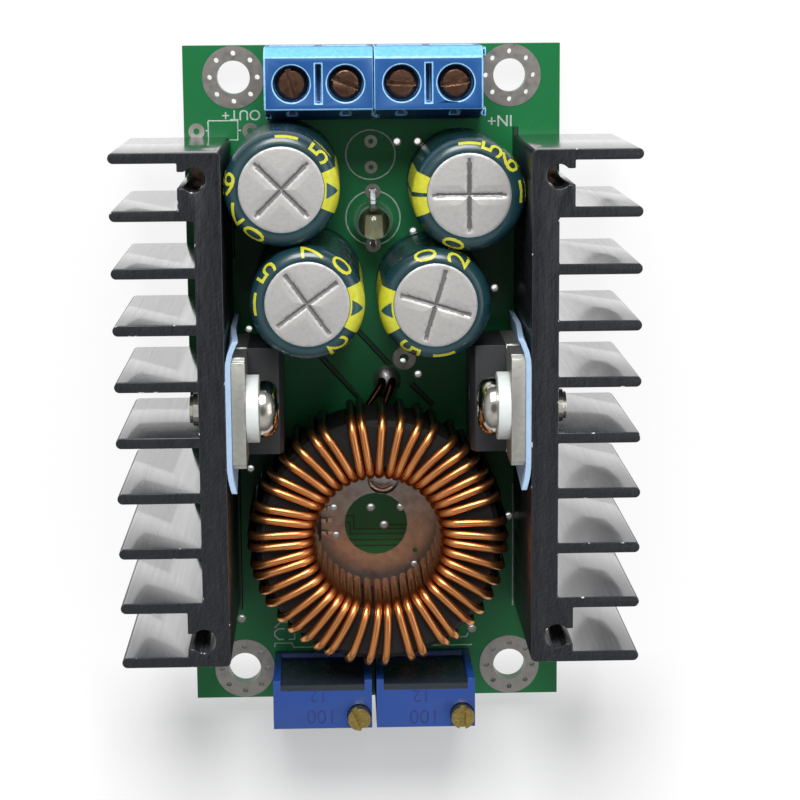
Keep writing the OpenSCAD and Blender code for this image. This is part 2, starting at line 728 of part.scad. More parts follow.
module inductor_core() color("#2a2826") {
    w = (core_od - core_id) / 2;
    translate([0, coil_y, top + core_z]) rotate_extrude($fn = 96) translate([core_id / 2, 0])
        difference() {
            square([w, core_h]);
            for (x = [0, w], y = [0, core_h])
                translate([x, y]) rotate(45) square(core_round * 1.2, center = true);
        }
}

// Path of one strand, -1 or 1. A turn runs up the inside, out over the top, down the
// outside and back under the core to the next turn; the corners are quarter bends.
// Inside the ring the strands lie evenly, outside they close up into pairs.
bend_r = core_round + wire_d / 2;
wire_in = core_id / 2 - wire_gap - wire_d / 2;
wire_out = core_od / 2 + wire_gap + wire_d / 2;
wire_lo = coil_lift + wire_d / 2;
wire_hi = coil_lift + coil_h - wire_d / 2;
turn_deg = 360 / (turns + 1);
first_turn = 76;
function polar(r, z, t) = [r * cos(t), coil_y + r * sin(t), z];
function bend(cr, cz, from, t) = [
    for (a = [from, from - 45, from - 90]) polar(cr + bend_r * cos(a), cz + bend_r * sin(a), t)
];
function turn_points(t, out) = let (
        r0 = wire_in + bend_r, r1 = wire_out - bend_r,
        z0 = wire_lo + bend_r, z1 = wire_hi - bend_r) concat(
    bend(r0, z0, 270, t), bend(r0, z1, 180, t), bend(r1, z1, 90, out), bend(r1, z0, 0, out)
);
function strand_path(s) = let (
        t0 = first_turn - (s + 1) / 4 * turn_deg,
        shift = (s + 1) / 2 * (0.5 - pair_share) * turn_deg - slant,
        outside = [coil_out[0] + s * strand_gap, coil_out[1]],
        inside = [coil_in[0] + s * strand_gap, coil_in[1]]) concat(
    [[outside[0], outside[1], tip - top], [outside[0], outside[1], wire_lo - 0.9],
     polar(wire_out - 0.5, wire_lo, t0 + turn_deg + shift)],
    [for (k = [0:turns - 1]) each turn_points(t0 - k * turn_deg, t0 - k * turn_deg + shift)],
    [polar(wire_in + 0.5, wire_lo, t0 - turns * turn_deg), [inside[0], inside[1], wire_lo - 0.9],
     [inside[0], inside[1], tip - top]]
);

function unit(v) = v / norm(v);
function heading(p, i) = unit(
    (i > 0 ? unit(p[i] - p[i - 1]) : [0, 0, 0]) + (i < len(p) - 1 ? unit(p[i + 1] - p[i]) : [0, 0, 0])
);
function squared(side, d) = unit(side - (side * d) * d);
// a round bar of wire_d along a path, with flat ends
module sweep(path, sides) {
    n = len(path);
    dirs = [for (i = [0:n - 1]) heading(path, i)];
    across = [for (i = 0, s = squared([1, 0.2, 0], dirs[0]); i < n;
        i = i + 1, s = i < n ? squared(s, dirs[i]) : s) s];
    points = [for (i = [0:n - 1], k = [0:sides - 1]) let (a = 360 * k / sides)
        path[i] + wire_d / 2 * (cos(a) * across[i] + sin(a) * cross(dirs[i], across[i]))];
    walls = [for (i = [0:n - 2], k = [0:sides - 1])
        [i * sides + k, (i + 1) * sides + k, (i + 1) * sides + (k + 1) % sides, i * sides + (k + 1) % sides]];
    ends = [[for (k = [0:sides - 1]) k], [for (k = [0:sides - 1]) n * sides - 1 - k]];
    polyhedron(points, concat(walls, ends));
}

module winding_strand(s) color("#c9803f") {
    translate([0, 0, top]) sweep(strand_path(s), 6);
}

module trimmer_housing(i) color("#2450a4") {
    translate([trim_x[i], trim_y, top]) difference() {
        union() {
            translate([-trim_l / 2, -trim_d / 2, trim_foot]) cube([trim_l, trim_d, trim_h]);
            for (sx = [-1, 1], sy = [-1, 1])
                translate([sx * (trim_l / 2 - 0.6) - 0.5, sy * (trim_d / 2 - 0.6) - 0.5, 0])
                    cube([1, 1, trim_foot + e]);
        }
        translate([trim_l / 2 - trim_screw_in, trim_screw_in - trim_d / 2, trim_foot + trim_h - trim_screw_deep])
            cylinder(r = trim_screw_d / 2 + trim_clear, h = trim_screw_deep + e);
        translate([trim_rib - trim_l / 2, trim_d / 2 - seal_back - seal_t, trim_foot + 0.8])
            cube([trim_l - 2 * trim_rib, seal_back + seal_t + e, trim_h]);
        for (k = [-1:1]) translate([k * lead_pitch, -0.4, -e]) cylinder(d = trim_pin_d + 0.02, h = 2);
    }
}

module trimmer_screw(i, turn) color("#b8a05a") {
    base = trim_foot + trim_h - trim_screw_deep + 0.05;
    length = trim_screw_deep - 0.05 + trim_screw_out;
    translate([trim_screw_x(trim_x[i]), trim_screw_y, top + base]) difference() {
        union() {
            cylinder(d = trim_screw_d, h = length - 0.15);
            cylinder(d = trim_screw_d - 0.3, h = length);
        }
        rotate(turn) translate([-trim_screw_d, -trim_slot_w / 2, length - trim_slot_d])
            cube([2 * trim_screw_d, trim_slot_w, trim_slot_d + 1]);
    }
}

module trimmer_seals() color("#1c2233") {
    for (x = trim_x) translate([x + trim_rib - trim_l / 2, trim_y + trim_d / 2 - seal_back - seal_t,
        top + trim_foot + 0.8]) cube([trim_l - 2 * trim_rib, seal_t, trim_h - 0.8]);
}

module trimmer_pins() color("#c9b46a") {
    at_trim_pins() translate([0, 0, tip]) cylinder(d = trim_pin_d, h = through + 1.9);
}

module indicator_lens() color("#e8eceb") {
    translate([0, lens_y, top + lens_lift]) difference() {
        union() {
            cylinder(d = lens_flange_d, h = 1);
            cylinder(d = lens_d, h = lens_h - lens_d / 2);
            translate([0, 0, lens_h - lens_d / 2]) sphere(d = lens_d);
        }
        for (k = [-1:1]) translate([0, k * leg_in, -e]) cylinder(d = leg_d * 1.45, h = 0.9);
    }
}

module indicator_legs() color("#c4c6c8") {
    low = top + 0.4;
    high = low + 1;
    half = leg_d / 2;
    for (k = [-1:1]) let (y0 = k * leg_spread, y1 = k * leg_in)
        translate([-half, lens_y, 0]) rotate([90, 0, 90]) linear_extrude(leg_d) polygon([
            [y0 - half, tip], [y0 + half, tip], [y0 + half, low], [y1 + half, high],
            [y1 + half, top + lens_lift + 0.8], [y1 - half, top + lens_lift + 0.8],
            [y1 - half, high], [y0 - half, low]
        ]);
}

module control_chips() color("#26282a") {
    for (c = chips) translate([c[0], c[1], top + 0.12]) difference() {
        translate([0, chip_l / 2, 0]) rotate([90, 0, 0]) linear_extrude(chip_l) polygon([
            [-chip_w / 2 + 0.12, 0], [chip_w / 2 - 0.12, 0], [chip_w / 2, chip_h * 0.45],
            [chip_w / 2 - 0.35, chip_h - 0.12], [-chip_w / 2 + 0.35, chip_h - 0.12],
            [-chip_w / 2, chip_h * 0.45]
        ]);
        translate([-chip_w / 2 + 1, chip_l / 2 - 0.9, chip_h - 0.2]) cylinder(d = 0.6, h = 1);
    }
}

module chip_legs() color("#c8cacb") {
    for (c = chips, s = [-1, 1], k = [-1.5:1.5])
        translate([c[0] + s * chip_w / 2, c[1] + k * chip_pitch + 0.2, top])
            mirror([s < 0 ? 1 : 0, 0]) rotate([90, 0, 0]) linear_extrude(0.4) polygon([
                [-0.05, 0.5], [0.45, 0.5], [0.65, 0.18], [1.05, 0.18], [1.05, 0],
                [0.5, 0], [0.3, 0.34], [-0.05, 0.34]
            ]);
}

module smd_body(p, h) {
    translate([p[0] - smd_l / 2 + 0.35, p[1] - smd_w / 2, top + 0.02]) cube([smd_l - 0.7, smd_w, h]);
}
module smd_ends(p, h) {
    for (s = [-1, 1]) translate([p[0] + s * (smd_l / 2 - 0.175) - 0.175, p[1] - smd_w / 2, top])
        cube([0.35, smd_w, h + 0.04]);
}

module chip_resistors() color("#1f2123") {
    for (p = resistors) smd_body(p, 0.5);
}
module chip_resistor_ends() color("#c8cacb") {
    for (p = resistors) smd_ends(p, 0.5);
}
module chip_capacitors() color("#a98a66") {
    for (p = ceramics) smd_body(p, 0.85);
}
module chip_capacitor_ends() color("#c8cacb") {
    for (p = ceramics) smd_ends(p, 0.85);
}

board();
mounting_rings();
solder_joints();
terminal_housing(-1);  // terminal_housing_left
terminal_housing(1);  // terminal_housing_right
terminal_contacts();
clamp_screw(0, 105);  // clamp_screw_1
clamp_screw(1, -22);  // clamp_screw_2
clamp_screw(2, -2);  // clamp_screw_3
clamp_screw(3, 8);  // clamp_screw_4
wire_cage(0);  // wire_cage_1
wire_cage(1);  // wire_cage_2
wire_cage(2);  // wire_cage_3
wire_cage(3);  // wire_cage_4
capacitor_can(caps[0]);  // capacitor_can_1
capacitor_can(caps[1]);  // capacitor_can_2
capacitor_can(caps[2]);  // capacitor_can_3
capacitor_can(caps[3]);  // capacitor_can_4
capacitor_sleeve(caps[0]);  // capacitor_sleeve_1
capacitor_sleeve(caps[1]);  // capacitor_sleeve_2
capacitor_sleeve(caps[2]);  // capacitor_sleeve_3
capacitor_sleeve(caps[3]);  // capacitor_sleeve_4
capacitor_bungs();
capacitor_leads();
heatsink(-1);  // heatsink_left
heatsink(1);  // heatsink_right
heatsink_pins();
device_tab(-1);  // device_tab_left
device_tab(1);  // device_tab_right
device_case(-1);  // device_case_left
device_case(1);  // device_case_right
device_leads();
thermal_pad(-1);  // thermal_pad_left
thermal_pad(1);  // thermal_pad_right
insulating_bush(-1);  // insulating_bush_left
insulating_bush(1);  // insulating_bush_right
heatsink_screw(-1);  // heatsink_screw_left
heatsink_screw(1);  // heatsink_screw_right
inductor_core();
winding_strand(-1);  // winding_strand_a
winding_strand(1);  // winding_strand_b
trimmer_housing(0);  // trimmer_housing_left
trimmer_housing(1);  // trimmer_housing_right
trimmer_screw(0, -65);  // trimmer_screw_left
trimmer_screw(1, 88);  // trimmer_screw_right
trimmer_seals();
trimmer_pins();
indicator_lens();
indicator_legs();
control_chips();
chip_legs();
chip_resistors();
chip_resistor_ends();
chip_capacitors();
chip_capacitor_ends();
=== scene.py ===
import math

import bpy
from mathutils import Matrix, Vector


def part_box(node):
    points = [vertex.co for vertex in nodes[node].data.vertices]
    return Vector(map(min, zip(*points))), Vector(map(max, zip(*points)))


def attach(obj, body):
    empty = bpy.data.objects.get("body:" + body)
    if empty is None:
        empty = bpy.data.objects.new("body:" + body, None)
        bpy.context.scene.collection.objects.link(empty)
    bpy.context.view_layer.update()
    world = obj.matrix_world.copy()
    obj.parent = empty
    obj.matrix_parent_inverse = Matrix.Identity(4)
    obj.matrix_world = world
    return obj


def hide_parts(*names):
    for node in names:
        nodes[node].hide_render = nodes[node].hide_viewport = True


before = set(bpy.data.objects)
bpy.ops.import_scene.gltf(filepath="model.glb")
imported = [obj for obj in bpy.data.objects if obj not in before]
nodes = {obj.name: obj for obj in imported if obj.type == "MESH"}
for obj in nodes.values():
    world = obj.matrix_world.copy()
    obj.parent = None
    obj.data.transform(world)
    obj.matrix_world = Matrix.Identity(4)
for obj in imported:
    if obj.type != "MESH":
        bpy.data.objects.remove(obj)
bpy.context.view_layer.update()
scene = bpy.context.scene
mm = 0.001
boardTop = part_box("board")[1].z          # upper face of the board
print("frame loaded:", len(nodes), "CAD nodes")

# rules that all pieces share: a distance in m, then angles in degrees
finish = {
    "mergeGap": 0.000002,       # points closer than this are one
    "flat": 1.5,                # faces within this are one
    "sharp": 35,                # edges above this are rounded
    "smooth": 30,               # edges below this are shaded smooth
}
# part of a noise pattern's range that changes the colour and the gloss
grain = {"colour": (0.32, 0.68), "gloss": (0.3, 0.7)}


def hexColour(text):
    # an sRGB hex value turned to linear
    parts = [int(text[i:i + 2], 16) / 255 for i in (0, 2, 4)]
    return [p / 12.92 if p <= 0.04045 else ((p + 0.055) / 1.055) ** 2.4 for p in parts] + [1.0]


def addNode(tree, kind, values=None, **settings):
    node = tree.nodes.new("ShaderNode" + kind)
    for name, value in settings.items():
        setattr(node, name, value)
    for socket, value in (values or {}).items():
        if isinstance(value, bpy.types.NodeSocket):
            tree.links.new(value, node.inputs[socket])
        else:
            node.inputs[socket].default_value = value
    return node


def newMaterial(name, colour, values):
    material = bpy.data.materials.new(name)
    material.use_nodes = True
    shader = material.node_tree.nodes["Principled BSDF"]
    shader.inputs["Base Color"].default_value = hexColour(colour)
    for socket, value in values.items():
        shader.inputs[socket].default_value = value
    return material


def addGrain(material, sizeMm, otherColour, share, rough, bumpMm, stretch=(1, 1, 1), detail=4.0):
    # cloudy change of colour and gloss, with a fine unevenness of the surface;
    # real grain under 0.2 mm is drawn at 0.2 mm or more, so that it shows
    tree = material.node_tree
    shader = tree.nodes["Principled BSDF"]
    place = addNode(tree, "TexCoord").outputs["Object"]
    place = addNode(tree, "Mapping", {"Vector": place, "Scale": stretch}).outputs["Vector"]
    noise = addNode(tree, "TexNoise", {"Vector": place, "Scale": 1 / (sizeMm * mm),
                                       "Detail": detail}).outputs["Fac"]
    low, high = grain["colour"]
    amount = addNode(tree, "MapRange", {"Value": noise, "From Min": low, "From Max": high,
                                        "To Max": share})
    mix = addNode(tree, "Mix", {0: amount.outputs["Result"], 7: hexColour(otherColour)},
                  data_type="RGBA")
    base = shader.inputs["Base Color"]
    if base.is_linked:
        tree.links.new(base.links[0].from_socket, mix.inputs[6])
    else:
        mix.inputs[6].default_value = base.default_value
    tree.links.new(mix.outputs[2], base)
    low, high = grain["gloss"]
    gloss = addNode(tree, "MapRange", {"Value": noise, "From Min": low, "From Max": high,
                                       "To Min": rough[0], "To Max": rough[1]})
    tree.links.new(gloss.outputs["Result"], shader.inputs["Roughness"])
    bump = addNode(tree, "Bump", {"Height": noise, "Strength": 1.0, "Distance": bumpMm * mm})
    tree.links.new(bump.outputs["Normal"], shader.inputs["Normal"])


def only(piece):
    bpy.ops.object.select_all(action="DESELECT")
    piece.select_set(True)
    bpy.context.view_layer.objects.active = piece


def applyPlace():
    bpy.ops.object.transform_apply(location=True, rotation=True, scale=True)


def openMesh():
    # edit mode, with all points chosen
    bpy.ops.object.mode_set(mode="EDIT")
    bpy.ops.mesh.select_all(action="SELECT")


def closeMesh():
    bpy.ops.object.mode_set(mode="OBJECT")


def mergePoints(gap):
    bpy.ops.mesh.remove_doubles(threshold=gap)
    bpy.ops.mesh.normals_make_consistent(inside=False)


def sliceMesh(place, normal, **settings):
    bpy.ops.mesh.select_all(action="SELECT")
    bpy.ops.mesh.bisect(plane_co=place, plane_no=normal, **settings)


def shadeSmooth(degrees):
    bpy.ops.object.shade_smooth_by_angle(angle=math.radians(degrees))


def sweptLine(name, paths, radius, sides, lift=0):
    # a round stroke along each path, in mm
    line = bpy.data.curves.new(name, "CURVE")
    line.dimensions = "3D"
    for path in paths:
        spline = line.splines.new("POLY")
        spline.points.add(len(path) - 1)
        for point, (x, y, z) in zip(spline.points, path):
            point.co = (x * mm, y * mm, z * mm + lift, 1)
    line.bevel_depth = radius * mm
    line.bevel_resolution = sides
    line.use_fill_caps = True
    line.twist_mode = "MINIMUM"
    piece = bpy.data.objects.new(name, line)
    scene.collection.objects.link(piece)
    only(piece)
    bpy.ops.object.convert(target="MESH")
    return bpy.context.object


def printedWord(word, x, y, z, size, rise, spread=0):
    # a flat word, read from the board's far side
    bpy.ops.object.text_add(location=(x * mm, y * mm, z), rotation=(0, 0, math.pi))
    letters = bpy.context.object.data
    letters.body = word
    letters.size = size * mm
    letters.extrude = rise * mm
    letters.offset = spread * mm
    bpy.ops.object.convert(target="MESH")
    return bpy.context.object


def ownCopy(name):
    # an own copy of a CAD piece with its seams merged, ready for finer work
    piece = nodes[name].copy()
    piece.data = nodes[name].data.copy()
    piece.animation_data_clear()
    scene.collection.objects.link(piece)
    piece.parent = None
    piece.matrix_world = nodes[name].matrix_world
    for key in list(piece.keys()):
        del piece[key]
    only(piece)
    applyPlace()
    openMesh()
    bpy.ops.mesh.remove_doubles(threshold=finish["mergeGap"])
    bpy.ops.mesh.dissolve_limited(angle_limit=math.radians(finish["flat"]))
    bpy.ops.mesh.normals_make_consistent(inside=False)
    closeMesh()
    return piece


def softenEdges(piece, widthMm, edgeMaterial=-1, segments=2, clamp=True):
    only(piece)
    bevel = piece.modifiers.new("edges", "BEVEL")
    bevel.width = widthMm * mm
    bevel.segments = segments
    bevel.limit_method = "ANGLE"
    bevel.angle_limit = math.radians(finish["sharp"])
    bevel.use_clamp_overlap = clamp
    bevel.material = edgeMaterial
    bpy.ops.object.modifier_apply(modifier="edges")
    shadeSmooth(finish["smooth"])


def wearMaterials(piece, materials, pick):
    # every face gets the material that pick names for its normal
    piece.data.materials.clear()
    for material in materials:
        piece.data.materials.append(material)
    for face in piece.data.polygons:
        face.material_index = pick(face.normal)


def finishPiece(piece, name, material, body="module", replaced=()):
    only(piece)
    applyPlace()
    piece.name = name
    if material is not None:
        piece.data.materials.clear()
        piece.data.materials.append(material)
    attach(piece, body)
    if replaced:
        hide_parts(*replaced)


camera = {
    "place": (-3.867, 37.766, 223.72),      # mm from the middle of the board
    "turn": (-10.2606, -1.7301, -0.4263),   # degrees
    "lens": 101.91, "sensor": 36, "nearest": 0.01,
}
bpy.ops.object.camera_add(location=[v * mm for v in camera["place"]],
                          rotation=[math.radians(v) for v in camera["turn"]])
eye = bpy.context.object
eye.data.lens = camera["lens"]
eye.data.sensor_width = camera["sensor"]
eye.data.clip_start = camera["nearest"]
bpy.context.scene.camera = eye

# light, floor and the white tent around them
studio = {
    "boxes": (("keyBox", (-0.03, 0.44, 0.45), 0.32, 4.2),      # place and size in m, power in W
              ("sideBox", (0.42, 0.05, 0.38), 0.35, 0.5)),
    "surround": "ffffff", "horizon": 0.18, "overhead": 0.7, "zenith": 0.25,
    "rise": (0.1, 0.75), "opening": (0.9, 0.985),              # heights on the tent, 0 to 1
    "floor": "f0f0f0", "floorSize": 3, "floorDrop": 0.05,
    "floorGlow": 0.88, "frontGlow": 0.15, "front": (-36, -29),  # mm along the floor
}
scene.view_settings.view_transform = "Standard"

for name, place, size, power in studio["boxes"]:
    bpy.ops.object.light_add(type="AREA", location=place)
    lamp = bpy.context.object
    lamp.name = name
    lamp.data.shape = "SQUARE"
    lamp.data.size = size
    lamp.data.energy = power
    lamp.rotation_euler = (-Vector(place)).to_track_quat("-Z", "Y").to_euler()

world = bpy.data.worlds.new("whiteTent")
scene.world = world
world.use_nodes = True
tree = world.node_tree
backdrop = tree.nodes["Background"]
backdrop.inputs["Color"].default_value = hexColour(studio["surround"])
ray = addNode(tree, "LightPath").outputs
seen = addNode(tree, "Math", {0: ray["Is Camera Ray"], 1: ray["Is Transmission Ray"]},
               operation="MAXIMUM")
place = addNode(tree, "TexCoord").outputs["Generated"]
height = addNode(tree, "SeparateXYZ", {0: place}).outputs["Z"]
tent = addNode(tree, "MapRange", {
    "Value": height, "From Min": studio["rise"][0], "From Max": studio["rise"][1],
    "To Min": studio["horizon"], "To Max": studio["overhead"]}, interpolation_type="SMOOTHSTEP")
# the camera and its stand darken the middle of the tent
opening = addNode(tree, "MapRange", {
    "Value": height, "From Min": studio["opening"][0], "From Max": studio["opening"][1],
    "To Min": 1.0, "To Max": studio["zenith"]}, interpolation_type="SMOOTHSTEP")
tent = addNode(tree, "Math", {0: tent.outputs["Result"], 1: opening.outputs["Result"]},
               operation="MULTIPLY")
level = addNode(tree, "MapRange", {"Value": seen.outputs[0], "To Min": tent.outputs[0],
                                   "To Max": 1.0})
tree.links.new(level.outputs["Result"], backdrop.inputs["Strength"])

bpy.ops.mesh.primitive_plane_add(size=studio["floorSize"],
                                 location=(0, 0, -studio["floorDrop"] * mm))
floor = bpy.context.object
floor.name = "floor"
paper = newMaterial("whitePaperSweep", studio["floor"], {"Roughness": 0.9,
                                                         "Specular IOR Level": 0.1})
tree = paper.node_tree
shader = tree.nodes["Principled BSDF"]
ray = addNode(tree, "LightPath").outputs
seen = addNode(tree, "Math", {0: ray["Is Camera Ray"], 1: ray["Is Glossy Ray"]},
               operation="MAXIMUM")
seen = addNode(tree, "Math", {0: seen.outputs[0], 1: ray["Is Transmission Ray"]},
               operation="MAXIMUM")
place = addNode(tree, "TexCoord").outputs["Object"]
along = addNode(tree, "SeparateXYZ", {0: place}).outputs["Y"]
# less glow in front of the board, so that its shadow shows there
glowing = addNode(tree, "MapRange", {
    "Value": along, "From Min": studio["front"][0] * mm, "From Max": studio["front"][1] * mm,
    "To Min": studio["frontGlow"], "To Max": studio["floorGlow"]})
share = addNode(tree, "Math", {0: seen.outputs[0], 1: glowing.outputs["Result"]},
                operation="MULTIPLY")
glow = addNode(tree, "Emission", {"Color": (1, 1, 1, 1), "Strength": 1.0})
blend = addNode(tree, "MixShader", {0: share.outputs[0], 1: shader.outputs[0],
                                    2: glow.outputs[0]})
tree.links.new(blend.outputs[0], tree.nodes["Material Output"].inputs["Surface"])
floor.data.materials.append(paper)
print("camera, light and floor ready")

# green solder mask over woven glass laminate: glossy lacquer, the weave just showing,
# with painted light and shade: a lighter, greyer green in the middle and a deeper green towards the
# long edges
mask = {"middle": "1f7444", "rim": "146c38", "fade": (8, 21)}      # mm from the board's middle
solderMask = newMaterial("solderMaskGreen", "1c6f38", {"Roughness": 0.32, "IOR": 1.5,
                                                       "Specular IOR Level": 0.35})
tree = solderMask.node_tree
place = addNode(tree, "TexCoord").outputs["Object"]
across = addNode(tree, "SeparateXYZ", {0: place}).outputs["X"]
across = addNode(tree, "Math", {0: across}, operation="ABSOLUTE").outputs[0]
# painted light and shade across the board: the colour runs from the middle green to the deeper rim
# green
fade = addNode(tree, "MapRange", {"Value": across, "From Min": mask["fade"][0] * mm,
                                  "From Max": mask["fade"][1] * mm},
               interpolation_type="SMOOTHSTEP")
green = addNode(tree, "Mix", {0: fade.outputs["Result"], 6: hexColour(mask["middle"]),
                              7: hexColour(mask["rim"])}, data_type="RGBA")
tree.links.new(green.outputs[2], tree.nodes["Principled BSDF"].inputs["Base Color"])
addGrain(solderMask, 6.0, "185f36", 0.4, (0.26, 0.36), 0.01)

# hot-air-levelled tin over copper: bright but uneven, greyer where it is thin
tinnedCopper = newMaterial("tinnedCopper", "a9a6a2", {"Metallic": 1.0, "Roughness": 0.4})
addGrain(tinnedCopper, 0.8, "8d857e", 0.6, (0.32, 0.5), 0.01)

# solder frozen from the melt: smooth, bright, with soft lumps
solderMetal = newMaterial("frozenSolder", "d3d4d4", {"Metallic": 1.0, "Roughness": 0.42})
addGrain(solderMetal, 0.9, "9b9a99", 0.5, (0.34, 0.5), 0.05)

# blue polyamide, injection moulded with a fine spark-eroded texture
terminalPlastic = newMaterial("bluePolyamide", "0d4f90", {"Roughness": 0.42, "IOR": 1.53})
addGrain(terminalPlastic, 0.35, "0b4884", 0.5, (0.36, 0.48), 0.008)

# tinned brass strip of the terminals
contactBrass = newMaterial("tinnedBrass", "b9a878", {"Metallic": 1.0, "Roughness": 0.35})
addGrain(contactBrass, 0.5, "8f8058", 0.5, (0.28, 0.45), 0.005)

# zinc-plated steel screws, turned and slotted, brownish, with the brown painted darker as painted
# shade of their wells
clampSteel = newMaterial("clampScrewSteel", "94705a", {"Metallic": 1.0, "Roughness": 0.3})
addGrain(clampSteel, 0.7, "432e26", 0.9, (0.18, 0.4), 0.03)

# stamped and plated steel cages
cageSteel = newMaterial("platedCageSteel", "b9bbba", {"Metallic": 1.0, "Roughness": 0.34})
addGrain(cageSteel, 0.6, "8d8f8f", 0.5, (0.28, 0.42), 0.008)

# drawn aluminium cans: satin, finely speckled from the blank
canAluminium = newMaterial("satinCanAluminium", "cfccc8", {"Metallic": 0.85, "Roughness": 0.45})
addGrain(canAluminium, 0.28, "a9a6a3", 0.6, (0.38, 0.55), 0.012)

# shrunk PET sleeve in dark teal: smooth and glossy
sleeveTeal = newMaterial("shrunkSleeveTeal", "143238", {"Roughness": 0.22, "IOR": 1.57})
addGrain(sleeveTeal, 1.5, "1b4048", 0.6, (0.18, 0.3), 0.01)

# moulded rubber bungs
bungRubber = newMaterial("bungRubber", "1d1b1a", {"Roughness": 0.8})
addGrain(bungRubber, 0.4, "2b2826", 0.5, (0.7, 0.9), 0.01)

# black anodised extrusion: dyed oxide over aluminium, faintly streaked on its sawn ends
blackAnodised = newMaterial("blackAnodisedAluminium", "131418", {
    "Roughness": 0.36, "IOR": 1.5, "Specular IOR Level": 0.35})
addGrain(blackAnodised, 0.22, "25272c", 0.6, (0.28, 0.44), 0.012, stretch=(1.4, 0.12, 1))
# fine slanting marks of the saw that cut the profile to length
saw = {"slant": 38, "spacing": 1.3, "wander": 14.0, "detail": 5.0, "from": 0.8, "share": 0.22,
       "colour": "3a3d44"}
tree = blackAnodised.node_tree
place = addNode(tree, "TexCoord").outputs["Object"]
slant = addNode(tree, "Mapping", {"Vector": place, "Rotation": (0, 0, math.radians(saw["slant"]))})
sawn = addNode(tree, "TexWave", {"Vector": slant.outputs[0], "Scale": 1 / (saw["spacing"] * mm),
                                 "Distortion": saw["wander"], "Detail": saw["detail"]})
marks = addNode(tree, "MapRange", {"Value": sawn.outputs["Fac"], "From Min": saw["from"],
                                   "To Max": saw["share"]})
base = tree.nodes["Principled BSDF"].inputs["Base Color"]
scratched = addNode(tree, "Mix", {0: marks.outputs["Result"], 6: base.links[0].from_socket,
                                  7: hexColour(saw["colour"])}, data_type="RGBA")
tree.links.new(scratched.outputs[2], base)
# the drawn faces of the fins are smoother and glossier, streaked along the extrusion, and painted a
# lighter grey than the other faces as a painted reflection of the bright floor
finFacesPaintedReflection = newMaterial("drawnFinFacesPaintedReflection", "333438", {
    "Roughness": 0.2, "IOR": 1.8, "Coat Weight": 1.0, "Coat IOR": 1.7, "Coat Roughness": 0.12})
addGrain(finFacesPaintedReflection, 0.35, "4a4b50", 0.6, (0.16, 0.28), 0.006, stretch=(1, 1, 0.03))
# the outer and mounting faces are duller
satinAnodised = newMaterial("satinAnodisedFaces", "17181b", {
    "Roughness": 0.36, "IOR": 1.5, "Specular IOR Level": 0.4})
addGrain(satinAnodised, 0.35, "25262a", 0.6, (0.3, 0.44), 0.006, stretch=(1, 1, 0.03))
# edges where the anodising is knocked off here and there, down to bright metal
chipped = {"bright": "d9dadb", "size": 0.9, "detail": 3.0, "from": 0.66, "to": 0.7}
chippedEdge = newMaterial("chippedAnodisedEdge", "17181b", {"Roughness": 0.3})
addGrain(chippedEdge, 0.55, "24262a", 0.5, (0.24, 0.4), 0.01, detail=6.0)
tree = chippedEdge.node_tree
place = addNode(tree, "TexCoord").outputs["Object"]
sparse = addNode(tree, "TexNoise", {"Vector": place, "Scale": 1 / (chipped["size"] * mm),
                                    "Detail": chipped["detail"]})
where = addNode(tree, "MapRange", {"Value": sparse.outputs["Fac"], "From Min": chipped["from"],
                                   "From Max": chipped["to"]})
base = tree.nodes["Principled BSDF"].inputs["Base Color"]
knocked = addNode(tree, "Mix", {0: where.outputs["Result"], 6: base.links[0].from_socket,
                                7: hexColour(chipped["bright"])}, data_type="RGBA")
tree.links.new(knocked.outputs[2], base)

# tinned steel pins pressed into the heatsinks
sinkPin = newMaterial("tinnedPin", "a48c7c", {"Metallic": 1.0, "Roughness": 0.4})
addGrain(sinkPin, 0.5, "6f5a4c", 0.6, (0.3, 0.5), 0.02)

# tin-plated copper tab, stamped, satin
tabMetal = newMaterial("tinPlatedTab", "b9b9b3", {"Metallic": 0.9, "Roughness": 0.4})
addGrain(tabMetal, 0.5, "98978f", 0.5, (0.34, 0.48), 0.01)

# black epoxy moulding compound
blackEpoxy = newMaterial("mouldedEpoxy", "1f2023", {"Roughness": 0.5, "IOR": 1.55})
addGrain(blackEpoxy, 0.2, "2a2b2f", 0.6, (0.42, 0.58), 0.006)

# silicone rubber insulator on glass cloth, pale blue
siliconePad = newMaterial("blueSiliconePad", "9fb8d2", {"Roughness": 0.6})
addGrain(siliconePad, 0.6, "8aa6c6", 0.5, (0.5, 0.7), 0.01)

# white nylon shoulder washers, slightly translucent
whiteNylon = newMaterial("whiteNylon", "d3d8d6", {
    "Roughness": 0.4, "IOR": 1.53, "Subsurface Weight": 0.15,
    "Subsurface Radius": (0.0008, 0.0008, 0.0008)})
addGrain(whiteNylon, 0.8, "c6ccca", 0.5, (0.34, 0.46), 0.005)

# nickel-plated steel screws: mirror-like, with fine marks from the header
nickelScrew = newMaterial("nickelPlatedScrew", "c9c6be", {"Metallic": 1.0, "Roughness": 0.14})
addGrain(nickelScrew, 0.5, "a39e92", 0.5, (0.08, 0.22), 0.008)

# dark coated ring of pressed iron powder: dull, slightly rough
powderCore = newMaterial("coatedPowderCore", "161514", {"Roughness": 0.62,
                                                        "Specular IOR Level": 0.25})
addGrain(powderCore, 0.3, "0e0d0d", 0.6, (0.55, 0.7), 0.01)

# copper wire under clear amber enamel: bright along its ridges
enamelCopper = newMaterial("enamelledCopper", "d8935a", {"Metallic": 1.0, "Roughness": 0.3})
addGrain(enamelCopper, 1.5, "c07a44", 0.4, (0.26, 0.36), 0.003)
